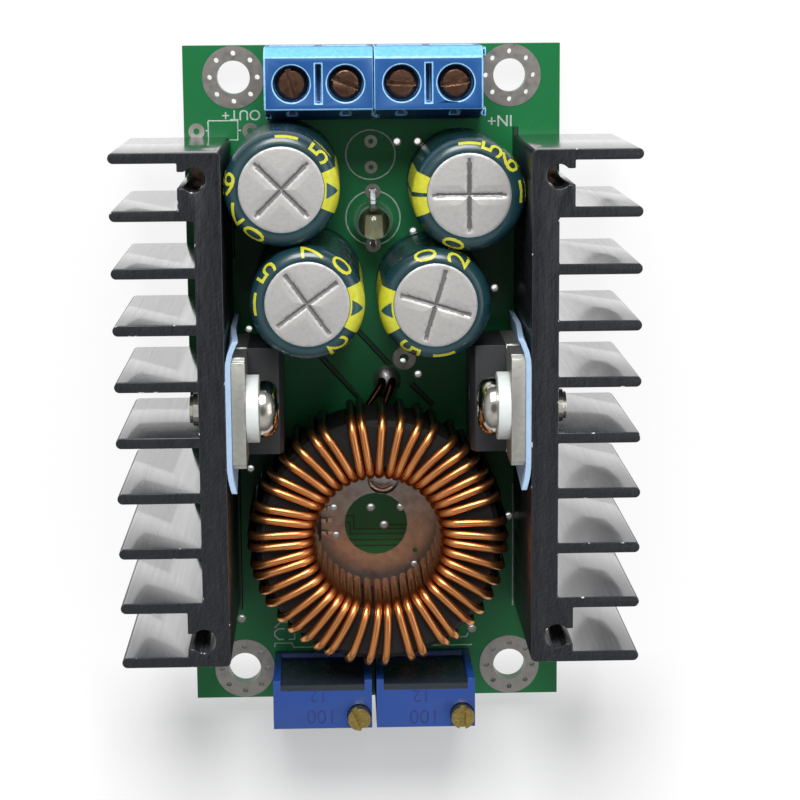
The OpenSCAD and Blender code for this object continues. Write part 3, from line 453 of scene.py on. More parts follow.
# painted shade: the copper is painted dark brown low on the outside of the coil, where shade falls
outerWallShade = {"colour": "3a2417", "below": (2.4, 0.8), "inside": (9, 11)}      # mm from top and axis
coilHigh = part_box("winding_strand_a")[1]
coreLow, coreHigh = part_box("inductor_core")
coilMiddle = (0, (coreLow[1] + coreHigh[1]) / 2, 0)
tree = enamelCopper.node_tree
place = addNode(tree, "TexCoord").outputs["Object"]
height = addNode(tree, "SeparateXYZ", {0: place}).outputs["Z"]
# bare: where the copper keeps its own colour, above the painted shade and inside the ring
bare = addNode(tree, "MapRange", {
    "Value": height, "From Min": coilHigh[2] - outerWallShade["below"][0] * mm,
    "From Max": coilHigh[2] - outerWallShade["below"][1] * mm}, interpolation_type="SMOOTHSTEP")
away = addNode(tree, "VectorMath", {0: place, 1: coilMiddle}, operation="SUBTRACT")
away = addNode(tree, "VectorMath", {0: away.outputs[0], 1: (1, 1, 0)}, operation="MULTIPLY")
away = addNode(tree, "VectorMath", {0: away.outputs[0]}, operation="LENGTH").outputs["Value"]
inside = addNode(tree, "MapRange", {
    "Value": away, "From Min": outerWallShade["inside"][0] * mm, "From Max": outerWallShade["inside"][1] * mm,
    "To Min": 1.0, "To Max": 0.0})
bare = addNode(tree, "Math", {0: bare.outputs["Result"], 1: inside.outputs["Result"]},
               operation="MAXIMUM")
base = tree.nodes["Principled BSDF"].inputs["Base Color"]
shadedCopper = addNode(tree, "Mix", {0: bare.outputs[0], 6: hexColour(outerWallShade["colour"]),
                                  7: base.links[0].from_socket}, data_type="RGBA")
tree.links.new(shadedCopper.outputs[2], base)

# blue thermoset trimmer housings
trimmerPlastic = newMaterial("blueTrimmerPlastic", "1c4189", {"Roughness": 0.36, "IOR": 1.55})
addGrain(trimmerPlastic, 0.3, "183978", 0.5, (0.3, 0.42), 0.006)

# turned brass adjusting screws
trimmerBrass = newMaterial("turnedBrass", "c3ad66", {"Metallic": 1.0, "Roughness": 0.26})
addGrain(trimmerBrass, 0.3, "7f6b34", 0.6, (0.2, 0.36), 0.015)

# dark epoxy poured into the trimmers' backs
trimmerSeal = newMaterial("pouredDarkEpoxy", "272e38", {"Roughness": 0.4})
addGrain(trimmerSeal, 1.2, "1d242f", 0.6, (0.22, 0.4), 0.03)

# water-clear epoxy lens
clearLens = newMaterial("clearEpoxyLens", "e9edeb", {"Roughness": 0.04, "IOR": 1.5,
                                                     "Transmission Weight": 1.0})
addGrain(clearLens, 2.0, "dfe5e2", 0.5, (0.03, 0.07), 0.0)

# tinned steel and copper leads
leadMetal = newMaterial("tinnedLead", "c0c2c3", {"Metallic": 1.0, "Roughness": 0.3})
addGrain(leadMetal, 0.5, "97999a", 0.5, (0.24, 0.4), 0.008)

# black glazed resistor tops and tan capacitor ceramic
resistorGlaze = newMaterial("resistorGlaze", "1e2022", {"Roughness": 0.35})
addGrain(resistorGlaze, 0.3, "2c2e31", 0.5, (0.28, 0.42), 0.006)
tanCeramic = newMaterial("tanCeramic", "a48763", {"Roughness": 0.5})
addGrain(tanCeramic, 0.3, "8f7350", 0.5, (0.42, 0.58), 0.006)


def numbered(name):
    return ["%s_%d" % (name, i) for i in range(1, 5)]


def bothSides(name):
    return [name + "_left", name + "_right"]


for material, names in (
        (solderMask, ["board"]),
        (tinnedCopper, ["mounting_rings"]),
        (solderMetal, ["solder_joints"]),
        (terminalPlastic, bothSides("terminal_housing")),
        (contactBrass, ["terminal_contacts"]),
        (clampSteel, numbered("clamp_screw")),
        (cageSteel, numbered("wire_cage")),
        (canAluminium, numbered("capacitor_can")),
        (sleeveTeal, numbered("capacitor_sleeve")),
        (bungRubber, ["capacitor_bungs"]),
        (leadMetal, ["capacitor_leads", "device_leads", "trimmer_pins", "indicator_legs",
                     "chip_legs", "chip_resistor_ends", "chip_capacitor_ends"]),
        (blackAnodised, bothSides("heatsink")),
        (sinkPin, ["heatsink_pins"]),
        (tabMetal, bothSides("device_tab")),
        (blackEpoxy, bothSides("device_case") + ["control_chips"]),
        (siliconePad, bothSides("thermal_pad")),
        (whiteNylon, bothSides("insulating_bush")),
        (nickelScrew, bothSides("heatsink_screw")),
        (powderCore, ["inductor_core"]),
        (enamelCopper, ["winding_strand_a", "winding_strand_b"]),
        (trimmerPlastic, bothSides("trimmer_housing")),
        (trimmerBrass, bothSides("trimmer_screw")),
        (trimmerSeal, ["trimmer_seals"]),
        (clearLens, ["indicator_lens"]),
        (resistorGlaze, ["chip_resistors"]),
        (tanCeramic, ["chip_capacitors"])):
    for name in names:
        for holder in nodes[name].material_slots:
            holder.material = material
print("materials on all CAD nodes")

# winding: two strands side by side, 23 turns, in place of the plain swept ones; all in mm
winding = {
    "middle": -13.66, "wire": 0.8, "wallIn": 6.29, "wallOut": 12.06, "low": 2.0, "high": 12.42,
    "bend": 1.5, "bow": 0.1, "sides": 4, "mergeGap": 0.00001, "smooth": 50,
    # angle of each crossing over the ring in degrees, at the inner and at the outer wall
    "inner": (89, 96, 103.5, 110, 117.5, 125.5, 133.5, 141.5, 148.5, 157.5, 164.5, 172, 180, 187.5,
              194, 202.5, 212, 220.5, 228.5, 236, 243.5, 251, 260.5, 270, 277.5, 285.5, 294, 302,
              309.5, 318.5, 326.5, 335, 343, 351, 359, 366.5, 375, 383.5, 391.5, 398.5, 406.5,
              414.5, 421.5, 428, 434.5, 440.5),
    "outer": (87.5, 97.5, 102, 115.5, 121, 129.5, 138, 147, 153, 163, 168.5, 177, 182.5, 191, 196,
              203.5, 210, 219, 226, 233.5, 240.5, 246, 256, 265, 272.5, 285, 290.5, 302, 307.5,
              317, 324, 332, 339.5, 347, 355, 361, 368, 380, 387, 392.5, 399.5, 406, 413, 423.5,
              430.5, 439),
    # the two holes on the board, how far each strand lies from them, and the ends from there
    "joint": (1.2, -0.2), "hole": (1.0, -9.61), "apart": 0.5,
    "start": ((0, 0, -2.9), (0, 0, 0.3), (0, -0.12, 0.9), (-0.15, -0.5, 1.3)),
    "end": ((0, 0.5, 1.3), (0, 0.1, 0.9), (0, 0, 0.3), (0, 0, -2.9)),
}


def ringPoint(r, angle, z):
    a = math.radians(angle)
    return Vector((r * math.cos(a), winding["middle"] + r * math.sin(a), z))


def crossing(r, outer, inner):
    # a strand keeps straight between its place on the outer and on the inner wall
    t = (winding["wallOut"] - r) / (winding["wallOut"] - winding["wallIn"])
    return outer + (inner - outer) * max(0.0, min(1.0, t))


def quarterBend(r, z, start, outer, inner, steps=5):
    points = []
    for i in range(steps + 1):
        a = math.radians(start + 90 * i / steps)
        reach = r + winding["bend"] * math.cos(a)
        height = z + winding["bend"] * math.sin(a)
        points.append(ringPoint(reach, crossing(reach, outer, inner), height))
    return points


def strandEnd(hole, side, steps):
    return [Vector((hole[0] + side + x, hole[1] + y, z)) for x, y, z in steps]


def strandRoute(first):
    w = winding
    low, high = w["low"] + w["bend"], w["high"] - w["bend"]
    rOut, rIn = w["wallOut"] - w["bend"], w["wallIn"] + w["bend"]
    side = -w["apart"] if first else w["apart"]
    route = strandEnd(w["joint"], side, w["start"])
    for k in range(first, len(w["inner"]), 2):
        inner, outer = w["inner"][k], w["outer"][k]
        route += quarterBend(rOut, low, -90, outer, outer)            # up the outer wall
        route += quarterBend(rOut, high, 0, outer, inner)             # over the outer edge
        for t in (0.25, 0.5, 0.75):                      # across the top, bowed a little
            r = rOut + (rIn - rOut) * t
            height = w["high"] + w["bow"] * math.sin(math.pi * t)
            route.append(ringPoint(r, crossing(r, outer, inner), height))
        route += quarterBend(rIn, high, 90, outer, inner)             # over the inner edge and down
        route += quarterBend(rIn, low, 180, inner, inner)
    return route + strandEnd(w["hole"], side, w["end"])


for first, letter in ((0, "a"), (1, "b")):
    strand = sweptLine("roundStrand", [strandRoute(first)], winding["wire"] / 2, winding["sides"],
                       lift=boardTop)
    openMesh()
    mergePoints(winding["mergeGap"])
    closeMesh()
    shadeSmooth(winding["smooth"])
    finishPiece(strand, "coil_wire_" + letter, enamelCopper,
                replaced=["winding_strand_" + letter])
print("winding ready")

# tinned pads and the rims of plated holes; all in mm
boardArt = {
    # x, y, outer and inner radius of each pad
    "pads": ((-17.0, 24.4, 0.78, 0.3), (-11.8, 24.4, 0.78, 0.3), (-0.15, 23.3, 0.62, 0.25),
             (-0.15, 20.8, 0.62, 0.25), (0.0, 18.45, 0.75, 0.38), (0.0, 13.25, 0.75, 0.38),
             (2.95, 1.95, 1.15, 0.45)),
    "padHeight": 0.03, "rimOuter": 0.42, "rimInner": 0.31, "rimHeight": 0.015, "curveSteps": 6,
    "holeRings": ((-4.2, -13.06), (-4.0, -15.86), (3.8, -18.96), (13.3, -14.16), (-12.4, -8.96),
                  (-13.6, -24.36), (2.4, 23.25), (4.4, 23.25), (3.9, 14.55), (4.5, 13.35),
                  (11.9, 8.85), (4.3, 0.35), (-12.3, 5.05), (-14.6, 5.05), (9.6, -25.76),
                  (-0.5, -13.06), (0.8, -14.86), (2.5, -13.06)),
}
# bare tinned area under the ring inductor, with a round window of solder mask in it
tinnedArea = {
    "middle": (0.0, -14.74), "outer": 8.2, "inner": 3.14, "height": 0.02,
    # x, y and radius of its other holes
    "holes": [(0.75, -10.21, 1.56), (-4.2, -13.06, 0.3), (-4.0, -15.86, 0.3), (3.8, -18.96, 0.3),
              (3.89, -17.54, 0.26), (-2.16, -20.61, 0.26)],
}


def flatPiece(name, circles, height):
    # circles inside circles become holes when the curve is filled
    x, y, r = circles[0]
    bpy.ops.curve.primitive_bezier_circle_add(radius=r * mm, location=(x * mm, y * mm, 0))
    piece = bpy.context.object
    bpy.ops.object.transform_apply(location=True)
    bpy.ops.object.mode_set(mode="EDIT")
    for x, y, r in circles[1:]:
        bpy.ops.curve.primitive_bezier_circle_add(radius=r * mm, location=(x * mm, y * mm, 0))
    closeMesh()
    piece.data.dimensions = "2D"
    piece.data.fill_mode = "BOTH"
    piece.data.resolution_u = boardArt["curveSteps"]
    piece.data.extrude = height / 2 * mm
    bpy.ops.object.convert(target="MESH")
    piece = bpy.context.object
    piece.name = name
    piece.location.z = boardTop + height / 2 * mm
    return piece


circles = []
for x, y, outer, inner in boardArt["pads"]:
    circles += [(x, y, outer), (x, y, inner)]
pads = flatPiece("pads", circles, boardArt["padHeight"])
finishPiece(pads, "board_pads", tinnedCopper)
circles = []
for x, y in boardArt["holeRings"]:
    circles += [(x, y, boardArt["rimOuter"]), (x, y, boardArt["rimInner"])]
rings = flatPiece("holeRings", circles, boardArt["rimHeight"])
finishPiece(rings, "plated_hole_rims", tinnedCopper)
x, y = tinnedArea["middle"]
circles = [(x, y, tinnedArea["outer"]), (x, y, tinnedArea["inner"])] + tinnedArea["holes"]
area = flatPiece("area", circles, tinnedArea["height"])
finishPiece(area, "bare_tinned_area", tinnedCopper)

# faint grooves between the copper areas under the mask
traces = {
    "colour": "0f3a20", "thickness": 0.012, "width": 0.55,
    "lines": (((-5.6, 2.5), (-4.97, 1.87), (-2.34, -1.07), (-1.6, -1.9)), ((-2.4, 5.6),
              (-1.0, 4.11), (1.54, 1.29)), ((-2.4, 12.4), (-2.4, 5.6)), ((3.6, -0.6), (5.8, -2.8)),
              ((13.9, 24.6), (13.9, 17.5), (12.4, 16.0)), ((-13.8, 22.0), (-13.8, 12.0)),
              ((-13.7, -8.0), (-13.7, -23.4))),
    "thin": 0.16,
    "thinLines": (((-3.1, -13.9), (-2.2, -13.9), (-2.2, -15.3), (3.0, -15.3)), ((-2.9, -14.6),
                  (-2.6, -14.6), (-2.6, -15.8), (2.9, -15.8)), ((-2.7, -16.4), (2.6, -16.4)),
                  ((-2.3, -17.0), (2.2, -17.0)), ((1.1, -14.9), (3.1, -14.9))),
}
# the white legend: lines, circles by x, y and radius, and words by x, y and size
legend = {
    "colour": "b9c7bf", "stroke": 0.16, "thickness": 0.024, "wordRise": 0.012, "wordSpread": 0.006,
    "paths": (((-15.86, 25.4), (-13.0, 25.4), (-13.0, 23.55), (-15.86, 23.55), (-15.86, 25.4)),
              ((-16.1, 24.45), (-15.86, 24.45)), ((-13.0, 24.45), (-12.7, 24.45)), ((-18.0, 23.0),
              (-14.3, 22.95)), ((14.5, 23.0), (18.0, 22.95)), ((-10.3, -27.4), (-10.3, -27.0),
              (-8.6, -27.0), (-8.4, -27.45), (9.6, -27.45)), ((-10.3, -25.4), (-9.7, -24.8),
              (-9.0, -24.8)), ((-9.4, -26.6), (-9.9, -26.6), (-10.3, -26.2), (-10.3, -25.8),
              (-9.9, -25.5), (-9.3, -25.5)), ((-8.9, -26.6), (-8.3, -26.6), (-8.3, -26.0),
              (-8.6, -25.7)), ((8.3, -25.1), (8.9, -25.1), (9.2, -25.5)), ((8.4, -26.6),
              (9.0, -26.6), (9.2, -26.2)), ((13.7, -10.8), (13.7, -23.4))),
    "circles": ((-0.2, 22.0, 2.4), (0.0, 15.85, 2.65)),
    "words": (("OUT+", -10.75, 26.4, 1.4), ("IN+", 13.65, 25.7, 1.55)),
}

maskGroove = newMaterial("maskOverBareLaminate", traces["colour"], {"Roughness": 0.35, "IOR": 1.5})
addGrain(maskGroove, 1.5, "12301f", 0.6, (0.28, 0.42), 0.01)
whiteLegend = newMaterial("screenPrintedInk", legend["colour"], {"Roughness": 0.6})
addGrain(whiteLegend, 0.25, "8fa398", 0.6, (0.5, 0.7), 0.01)      # the ink breaks up over the weave


def drawnLines(name, paths, width, thickness):
    # strokes, pressed almost flat on the board
    flat = [[(x, y, 0) for x, y in path] for path in paths]
    piece = sweptLine(name, flat, width / 2, 1)
    piece.scale.z = thickness / width
    piece.location.z = boardTop + thickness / 2 * mm
    return piece


def circlePath(x, y, r, steps=48):
    return [(x + r * math.cos(2 * math.pi * i / steps), y + r * math.sin(2 * math.pi * i / steps))
            for i in range(steps + 1)]


grooves = drawnLines("grooves", traces["lines"], traces["width"], traces["thickness"])
finishPiece(grooves, "mask_grooves", maskGroove)
fineGrooves = drawnLines("fineGrooves", traces["thinLines"], traces["thin"], traces["thickness"])
finishPiece(fineGrooves, "fine_mask_grooves", maskGroove)
printed = drawnLines("printed", list(legend["paths"]) + [circlePath(*c) for c in legend["circles"]],
                     legend["stroke"], legend["thickness"])
finishPiece(printed, "board_legend_lines", whiteLegend)
for number, (word, x, y, size) in enumerate(legend["words"], 1):
    printed = printedWord(word, x, y, boardTop, size, legend["wordRise"], legend["wordSpread"])
    finishPiece(printed, "board_legend_word_%d" % number, whiteLegend)
print("board artwork ready")

# capacitors: printed bands and numerals on their sleeves; all in mm
capacitors = {
    "radius": 5.15, "shoulder": 1.24, "lift": 0.2, "proud": 0.025, "inset": 0.6,
    # x, y, height, band from and to in degrees, whether it is split, then the printed
    # numerals and the angle where each starts
    "cans": ((-8.45, 20.425, 20.1, -25, 22, False,
              (("50", 42), ("1", 82), ("63", 172), ("7", 205), ("0", 236))),
             (8.45, 19.426, 16.1, 155, 203, True,
              (("5", 62), ("1", 88), ("10", 2), ("63", 38), ("0", 250))),
             (-6.30, 10.199, 20.1, -32, 22, False,
              (("7", 82), ("0", 46), ("1", 178), ("25", 305), ("5", 140))),
             (5.35, 9.447, 16.1, 160, 212, False,
              (("50", 238), ("11", 278), ("25", 62), ("0", 100)))),
    "ink": "c3c433", "inkThick": 0.012, "inkStart": 0.12, "inkSmooth": 40,
    "bandFoot": 3.2, "bandStart": -0.05, "bandThick": 0.015, "bandCells": (24, 60),
    "splitShift": 0.27, "splitShare": 0.44,
    "markRadius": 0.8, "markScale": (1.15, 0.95, 1), "markBack": 0.38, "markProud": 0.02,
    "markCuts": 4,
    "numeral": 2.9, "numeralSpread": 0.008, "numeralMerge": 0.000001, "slices": (0.25, 0.3),
}
bandInk = newMaterial("yellowSleeveInk", capacitors["ink"], {"Roughness": 0.3, "IOR": 1.5})
addGrain(bandInk, 0.4, "a7a52b", 0.6, (0.22, 0.36), 0.008)
tealInk = newMaterial("tealMarkOnBand", "1d4248", {"Roughness": 0.3})
addGrain(tealInk, 0.5, "285058", 0.5, (0.24, 0.36), 0.008)


def shoulderPoint(can, distance, proud):
    # a point on the sleeve this far from the inner edge of its rim, along rim, shoulder and wall
    edge = capacitors["radius"] - capacitors["shoulder"]
    top = boardTop / mm + capacitors["lift"] + can[2]
    quarter = capacitors["shoulder"] * math.pi / 2
    if distance < 0:
        return edge + distance, top + proud
    if distance < quarter:
        a = distance / capacitors["shoulder"]
        r = capacitors["shoulder"] + proud
        return edge + r * math.sin(a), top - capacitors["shoulder"] + r * math.cos(a)
    return capacitors["radius"] + proud, top - capacitors["shoulder"] - (distance - quarter)


def wrapOnSleeve(piece, can, angle, distance, proud, downwards):
    # the piece lies flat: x runs round the can and y from its wall towards its middle,
    # or, downwards, x runs down the can
    for vertex in piece.data.vertices:
        x, y, z = vertex.co / mm
        if downwards:
            x, y = y, -x
        r, height = shoulderPoint(can, distance - y, proud + z)
        a = math.radians(angle) + x / (capacitors["radius"] - capacitors["inset"])
        vertex.co = ((can[0] + r * math.cos(a)) * mm, (can[1] + r * math.sin(a)) * mm, height * mm)


def printOnSleeve(piece, can, angle, distance, proud, thickness, downwards=False):
    wrapOnSleeve(piece, can, angle, distance, proud, downwards)
    only(piece)
    solid = piece.modifiers.new("ink", "SOLIDIFY")
    solid.thickness = thickness * mm
    solid.offset = 1
    bpy.ops.object.modifier_apply(modifier="ink")
    shadeSmooth(capacitors["inkSmooth"])


def sleeveBand(width, depth):
    across, along = capacitors["bandCells"]
    bpy.ops.mesh.primitive_grid_add(x_subdivisions=across, y_subdivisions=along, size=1)
    piece = bpy.context.object
    piece.scale = (width * mm, depth * mm, 1)
    piece.location = (0, -depth / 2 * mm, 0)
    applyPlace()
    return piece


def bandMark():
    # a small triangle
    bpy.ops.mesh.primitive_circle_add(vertices=3, radius=capacitors["markRadius"] * mm,
                                      fill_type="NGON", rotation=(0, 0, math.pi))
    piece = bpy.context.object
    piece.scale = capacitors["markScale"]
    piece.location = (0, -capacitors["markBack"] * mm, 0)
    applyPlace()
    openMesh()
    bpy.ops.mesh.subdivide(number_cuts=capacitors["markCuts"])
    closeMesh()
    return piece


def sleeveNumeral(word):
    bpy.ops.object.text_add(location=(0, 0, 0))
    letters = bpy.context.object.data
    letters.body = word
    letters.size = capacitors["numeral"] * mm
    letters.align_y = "CENTER"
    letters.resolution_u = 3
    letters.offset = capacitors["numeralSpread"] * mm
    bpy.ops.object.convert(target="MESH")
    openMesh()
    bpy.ops.mesh.remove_doubles(threshold=capacitors["numeralMerge"])
    sliceX, sliceY = capacitors["slices"]    # so that the letters can follow the shoulder
    for cut in range(1, 14):
        sliceMesh((cut * sliceX * mm, 0, 0), (1, 0, 0))
    for cut in range(-4, 5):
        sliceMesh((0, cut * sliceY * mm, 0), (0, 1, 0))
    closeMesh()
    return bpy.context.object


for number, can in enumerate(capacitors["cans"], 1):
    height, bandFrom, bandTo, split, words = can[2:]
    proud = capacitors["proud"]
    middle = (bandFrom + bandTo) / 2
    width = math.radians(bandTo - bandFrom) * (capacitors["radius"] - capacitors["inset"])
    shifts = [-capacitors["splitShift"], capacitors["splitShift"]] if split else [0]
    share = capacitors["splitShare"] if split else 1.0
    for part, shift in enumerate(shifts, 1):
        band = sleeveBand(width * share, height - capacitors["bandFoot"])
        printOnSleeve(band, can, middle + shift * (bandTo - bandFrom), capacitors["bandStart"],
                      proud, capacitors["bandThick"])
        finishPiece(band, "capacitor_%d_band_%d" % (number, part), bandInk)
    if not split:
        mark = bandMark()
        printOnSleeve(mark, can, middle, capacitors["inkStart"], proud + capacitors["markProud"],
                      capacitors["inkThick"])
        finishPiece(mark, "capacitor_%d_mark" % number, tealInk)
    for count, (word, angle) in enumerate(words, 1):
        numeral = sleeveNumeral(word)
        printOnSleeve(numeral, can, angle, capacitors["inkStart"], proud, capacitors["inkThick"],
                      downwards=True)
        finishPiece(numeral, "capacitor_%d_numeral_%d" % (number, count), bandInk)
print("capacitor printing ready")

# heatsinks: sawn ends, drawn fin faces with a painted reflection, satin outer and mounting faces,
# chipped edges
finned = {"edge": 0.09, "steep": 0.9}


def sinkFace(normal):
    if abs(normal.z) > finned["steep"]:
        return 0
    return 1 if abs(normal.y) > finned["steep"] else 3


for side in ("left", "right"):
    sink = ownCopy("heatsink_" + side)
    wearMaterials(sink, [blackAnodised, finFacesPaintedReflection, chippedEdge, satinAnodised], sinkFace)
    softenEdges(sink, finned["edge"], 2, clamp=False)
    finishPiece(sink, "finned_heatsink_" + side, None,
                replaced=["heatsink_" + side])
print("heatsinks ready")

# terminal blocks: a paler painted highlight on the rounded moulded edges, painted light on the
# sloped front that faces the lamp, and painted shade on the leaning back
terminal = {"edge": 0.13, "frontSlope": 0.2, "backUp": 0.1, "backSlope": 0.3}
paintedHighlightEdge = newMaterial("paintedHighlightMouldedEdge", "9fd2f5", {"Roughness": 0.4})
addGrain(paintedHighlightEdge, 0.4, "5aa3da", 0.6, (0.34, 0.46), 0.006)
paintedLightFront = newMaterial("paintedLightBlueFront", "6fbdf0", {"Roughness": 0.5})
addGrain(paintedLightFront, 0.4, "4a9fdb", 0.6, (0.42, 0.56), 0.01)
paintedShadeBack = newMaterial("paintedShadeLeaningBack", "143a6e", {"Roughness": 0.5,
                                                         "Specular IOR Level": 0.3})
addGrain(paintedShadeBack, 0.4, "113260", 0.6, (0.44, 0.56), 0.008)


# faces turned up towards the lamp get the painted light, faces turned up and away get the painted
# shade
def blockFace(normal):
    if normal.z > terminal["frontSlope"] and normal.y > terminal["frontSlope"]:
        return 2
    return 3 if normal.z > terminal["backUp"] and normal.y < -terminal["backSlope"] else 0


for side in ("left", "right"):
    block = ownCopy("terminal_housing_" + side)
    wearMaterials(block, [terminalPlastic, paintedHighlightEdge, paintedLightFront, paintedShadeBack], blockFace)
    softenEdges(block, terminal["edge"], 1, clamp=False)
    finishPiece(block, "terminal_block_" + side, None,
                replaced=["terminal_housing_" + side])

# pieces that only need rounded edges: CAD name, new name, edge in mm, segments, material, slot
rounded = (("trimmer_housing_", "trimmer_box_", 0.12, 2, trimmerPlastic, "trimmer_plastic"),
           ("insulating_bush_", "flanged_bush_", 0.15, 3, whiteNylon, "white_nylon"),
           ("device_case_", "moulded_case_", 0.15, 3, blackEpoxy, "black_epoxy"),
           ("device_tab_", "plated_tab_", 0.08, 2, tabMetal, "device_tab"))
for side in ("left", "right"):
    for source, name, edge, segments, material, slotName in rounded:
        piece = ownCopy(source + side)
        softenEdges(piece, edge, segments=segments)
        finishPiece(piece, name + side, material, replaced=[source + side])
clampScrews = {"count": 4, "edge": 0.06}
for number in range(1, clampScrews["count"] + 1):
    name = "clamp_screw_%d" % number
    piece = ownCopy(name)
    softenEdges(piece, clampScrews["edge"])
    finishPiece(piece, "slotted_" + name, clampSteel, body=name,
                replaced=[name])
print("moulded pieces ready")

# thermal pads: soft sheets whose free ends curl away from the heatsink, more at the top
pad = {
    "wide": 13.9, "high": 18.5, "strips": 17, "rows": 12, "edge": 0.08,
    "curl": 0.75, "from": 4.4,                # mm, the rise at the ends and where it begins
    "footShare": 0.25, "nearShare": 0.55,     # share of the rise at the foot and at the near end
}
for side, sign in (("left", -1), ("right", 1)):
    low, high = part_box("thermal_pad_" + side)
    middle = [(low[i] + high[i]) / 2 for i in range(3)]
    sheet = ownCopy("thermal_pad_" + side)
    bpy.ops.object.mode_set(mode="EDIT")
    for step in range(-(pad["strips"] // 2), pad["strips"] // 2 + 1):
        cutY = middle[1] + step * pad["wide"] / pad["strips"] * mm
        sliceMesh((0, cutY, 0), (0, 1, 0))
    for step in range(1 - pad["rows"] // 2, pad["rows"] // 2):
        cutZ = middle[2] + step * pad["high"] / pad["rows"] * mm
        sliceMesh((0, 0, cutZ), (0, 0, 1))
    closeMesh()
    for vertex in sheet.data.vertices:
        offCentre = abs(vertex.co.y - middle[1]) / mm
        away = (offCentre - pad["from"]) / (pad["wide"] / 2 - pad["from"])
        upper = max(0.0, (vertex.co.z - middle[2]) / mm / (pad["high"] / 2))
        rise = pad["footShare"] + (1 - pad["footShare"]) * upper
        end = 1.0 if vertex.co.y > middle[1] else pad["nearShare"]
        vertex.co.x -= sign * (pad["curl"] * max(0.0, away) ** 2 * rise * end) * mm
    softenEdges(sheet, pad["edge"])
    finishPiece(sheet, "curled_pad_" + side, siliconePad,
                replaced=["thermal_pad_" + side])
print("pads ready")

# heatsink screws: domed heads with a cross recess; in mm and degrees
sinkScrew = {
    "head": 5.3, "rise": 1.7, "dome": 1.275, "domeSteps": 8, "around": 56, "onFace": 0.000001,
    "recess": 2.9, "slot": 0.72, "depth": 1.15, "turns": (25, 115),
    "shankEdge": 0.06, "headEdge": 0.05,
}
for side, sign in (("left", -1), ("right", 1)):
    low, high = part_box("insulating_bush_" + side)
    y, z = (low[1] + high[1]) / 2, (low[2] + high[2]) / 2
    face = low[0] if sign > 0 else high[0]
    shank = ownCopy("heatsink_screw_" + side)
    openMesh()
    sliceMesh((face, 0, 0), (sign, 0, 0), clear_inner=True, use_fill=True)
    closeMesh()
    softenEdges(shank, sinkScrew["shankEdge"])
    finishPiece(shank, "screw_shank_" + side, nickelScrew)
    bpy.ops.mesh.primitive_cylinder_add(
        vertices=sinkScrew["around"], radius=sinkScrew["head"] / 2 * mm,
        depth=sinkScrew["rise"] * mm, rotation=(0, math.pi / 2, 0),
        location=(face - sign * sinkScrew["rise"] / 2 * mm, y, z))
    head = bpy.context.object
    applyPlace()
    bpy.ops.object.mode_set(mode="EDIT")
    bpy.ops.mesh.select_mode(type="EDGE")
    bpy.ops.mesh.select_all(action="DESELECT")
    closeMesh()
    outer = face - sign * sinkScrew["rise"] * mm
    for edge in head.data.edges:
        edge.select = all(abs(head.data.vertices[v].co.x - outer) < sinkScrew["onFace"]
                          for v in edge.vertices)
    bpy.ops.object.mode_set(mode="EDIT")
    bpy.ops.mesh.bevel(offset=sinkScrew["dome"] * mm, offset_type="OFFSET",
                       segments=sinkScrew["domeSteps"], profile=0.5)
    closeMesh()
    cutters = []
    for turn in sinkScrew["turns"]:
        bpy.ops.mesh.primitive_cube_add(size=1, location=(outer, y, z),
                                        rotation=(math.radians(turn), 0, 0))
        cutter = bpy.context.object
        cutter.scale = (2 * sinkScrew["depth"] * mm, sinkScrew["recess"] * mm,
                        sinkScrew["slot"] * mm)
        cutters.append(cutter)
    for cutter in cutters:
        only(head)
        cut = head.modifiers.new("recess", "BOOLEAN")
        cut.operation = "DIFFERENCE"
        cut.solver = "EXACT"
        cut.object = cutter
        bpy.ops.object.modifier_apply(modifier="recess")
        bpy.data.objects.remove(cutter)
    softenEdges(head, sinkScrew["headEdge"])
    finishPiece(head, "domed_screw_head_" + side, nickelScrew,
                replaced=["heatsink_screw_" + side])
bpy.ops.object.mode_set(mode="EDIT")
bpy.ops.mesh.select_mode(type="VERT")        # edge mode is left again for the pieces that follow
closeMesh()
print("screws ready")

# can tops: four pressed sectors between the scored lines of the vent, with painted shade on the
# faces along the scored lines; in mm and degrees
vent = {
    "radius": 4.0, "lift": 0.15, "thick": 0.08, "rings": 32, "around": 144, "smooth": 50,
    "turns": (45, 0, 36, -17), "groove": 0.34, "depth": 0.14, "length": 3.45, "fade": 0.3,
    "swell": 0.1, "flank": 0.9, "rimFrom": 3.7, "rimWide": 0.3, "rimDrop": 0.13,
    "score": 0.2, "scoreShort": 0.1,
}
ventAluminium = newMaterial("pressedVentAluminium", "c6c4c2", {"Metallic": 0.8, "Roughness": 0.5})
addGrain(ventAluminium, 0.5, "9a9896", 0.55, (0.42, 0.6), 0.012)
paintedGrooveShade = newMaterial("paintedShadeInScoredLine", "7b7a7a", {"Metallic": 0.8, "Roughness": 0.5})
addGrain(paintedGrooveShade, 0.3, "636262", 0.5, (0.42, 0.6), 0.012)


def fromCross(across, along, a):
    # distance from the nearer scored line, and from the middle
    u = across * math.cos(a) + along * math.sin(a)
    v = -across * math.sin(a) + along * math.cos(a)
    return min(abs(u), abs(v)), math.hypot(u, v)


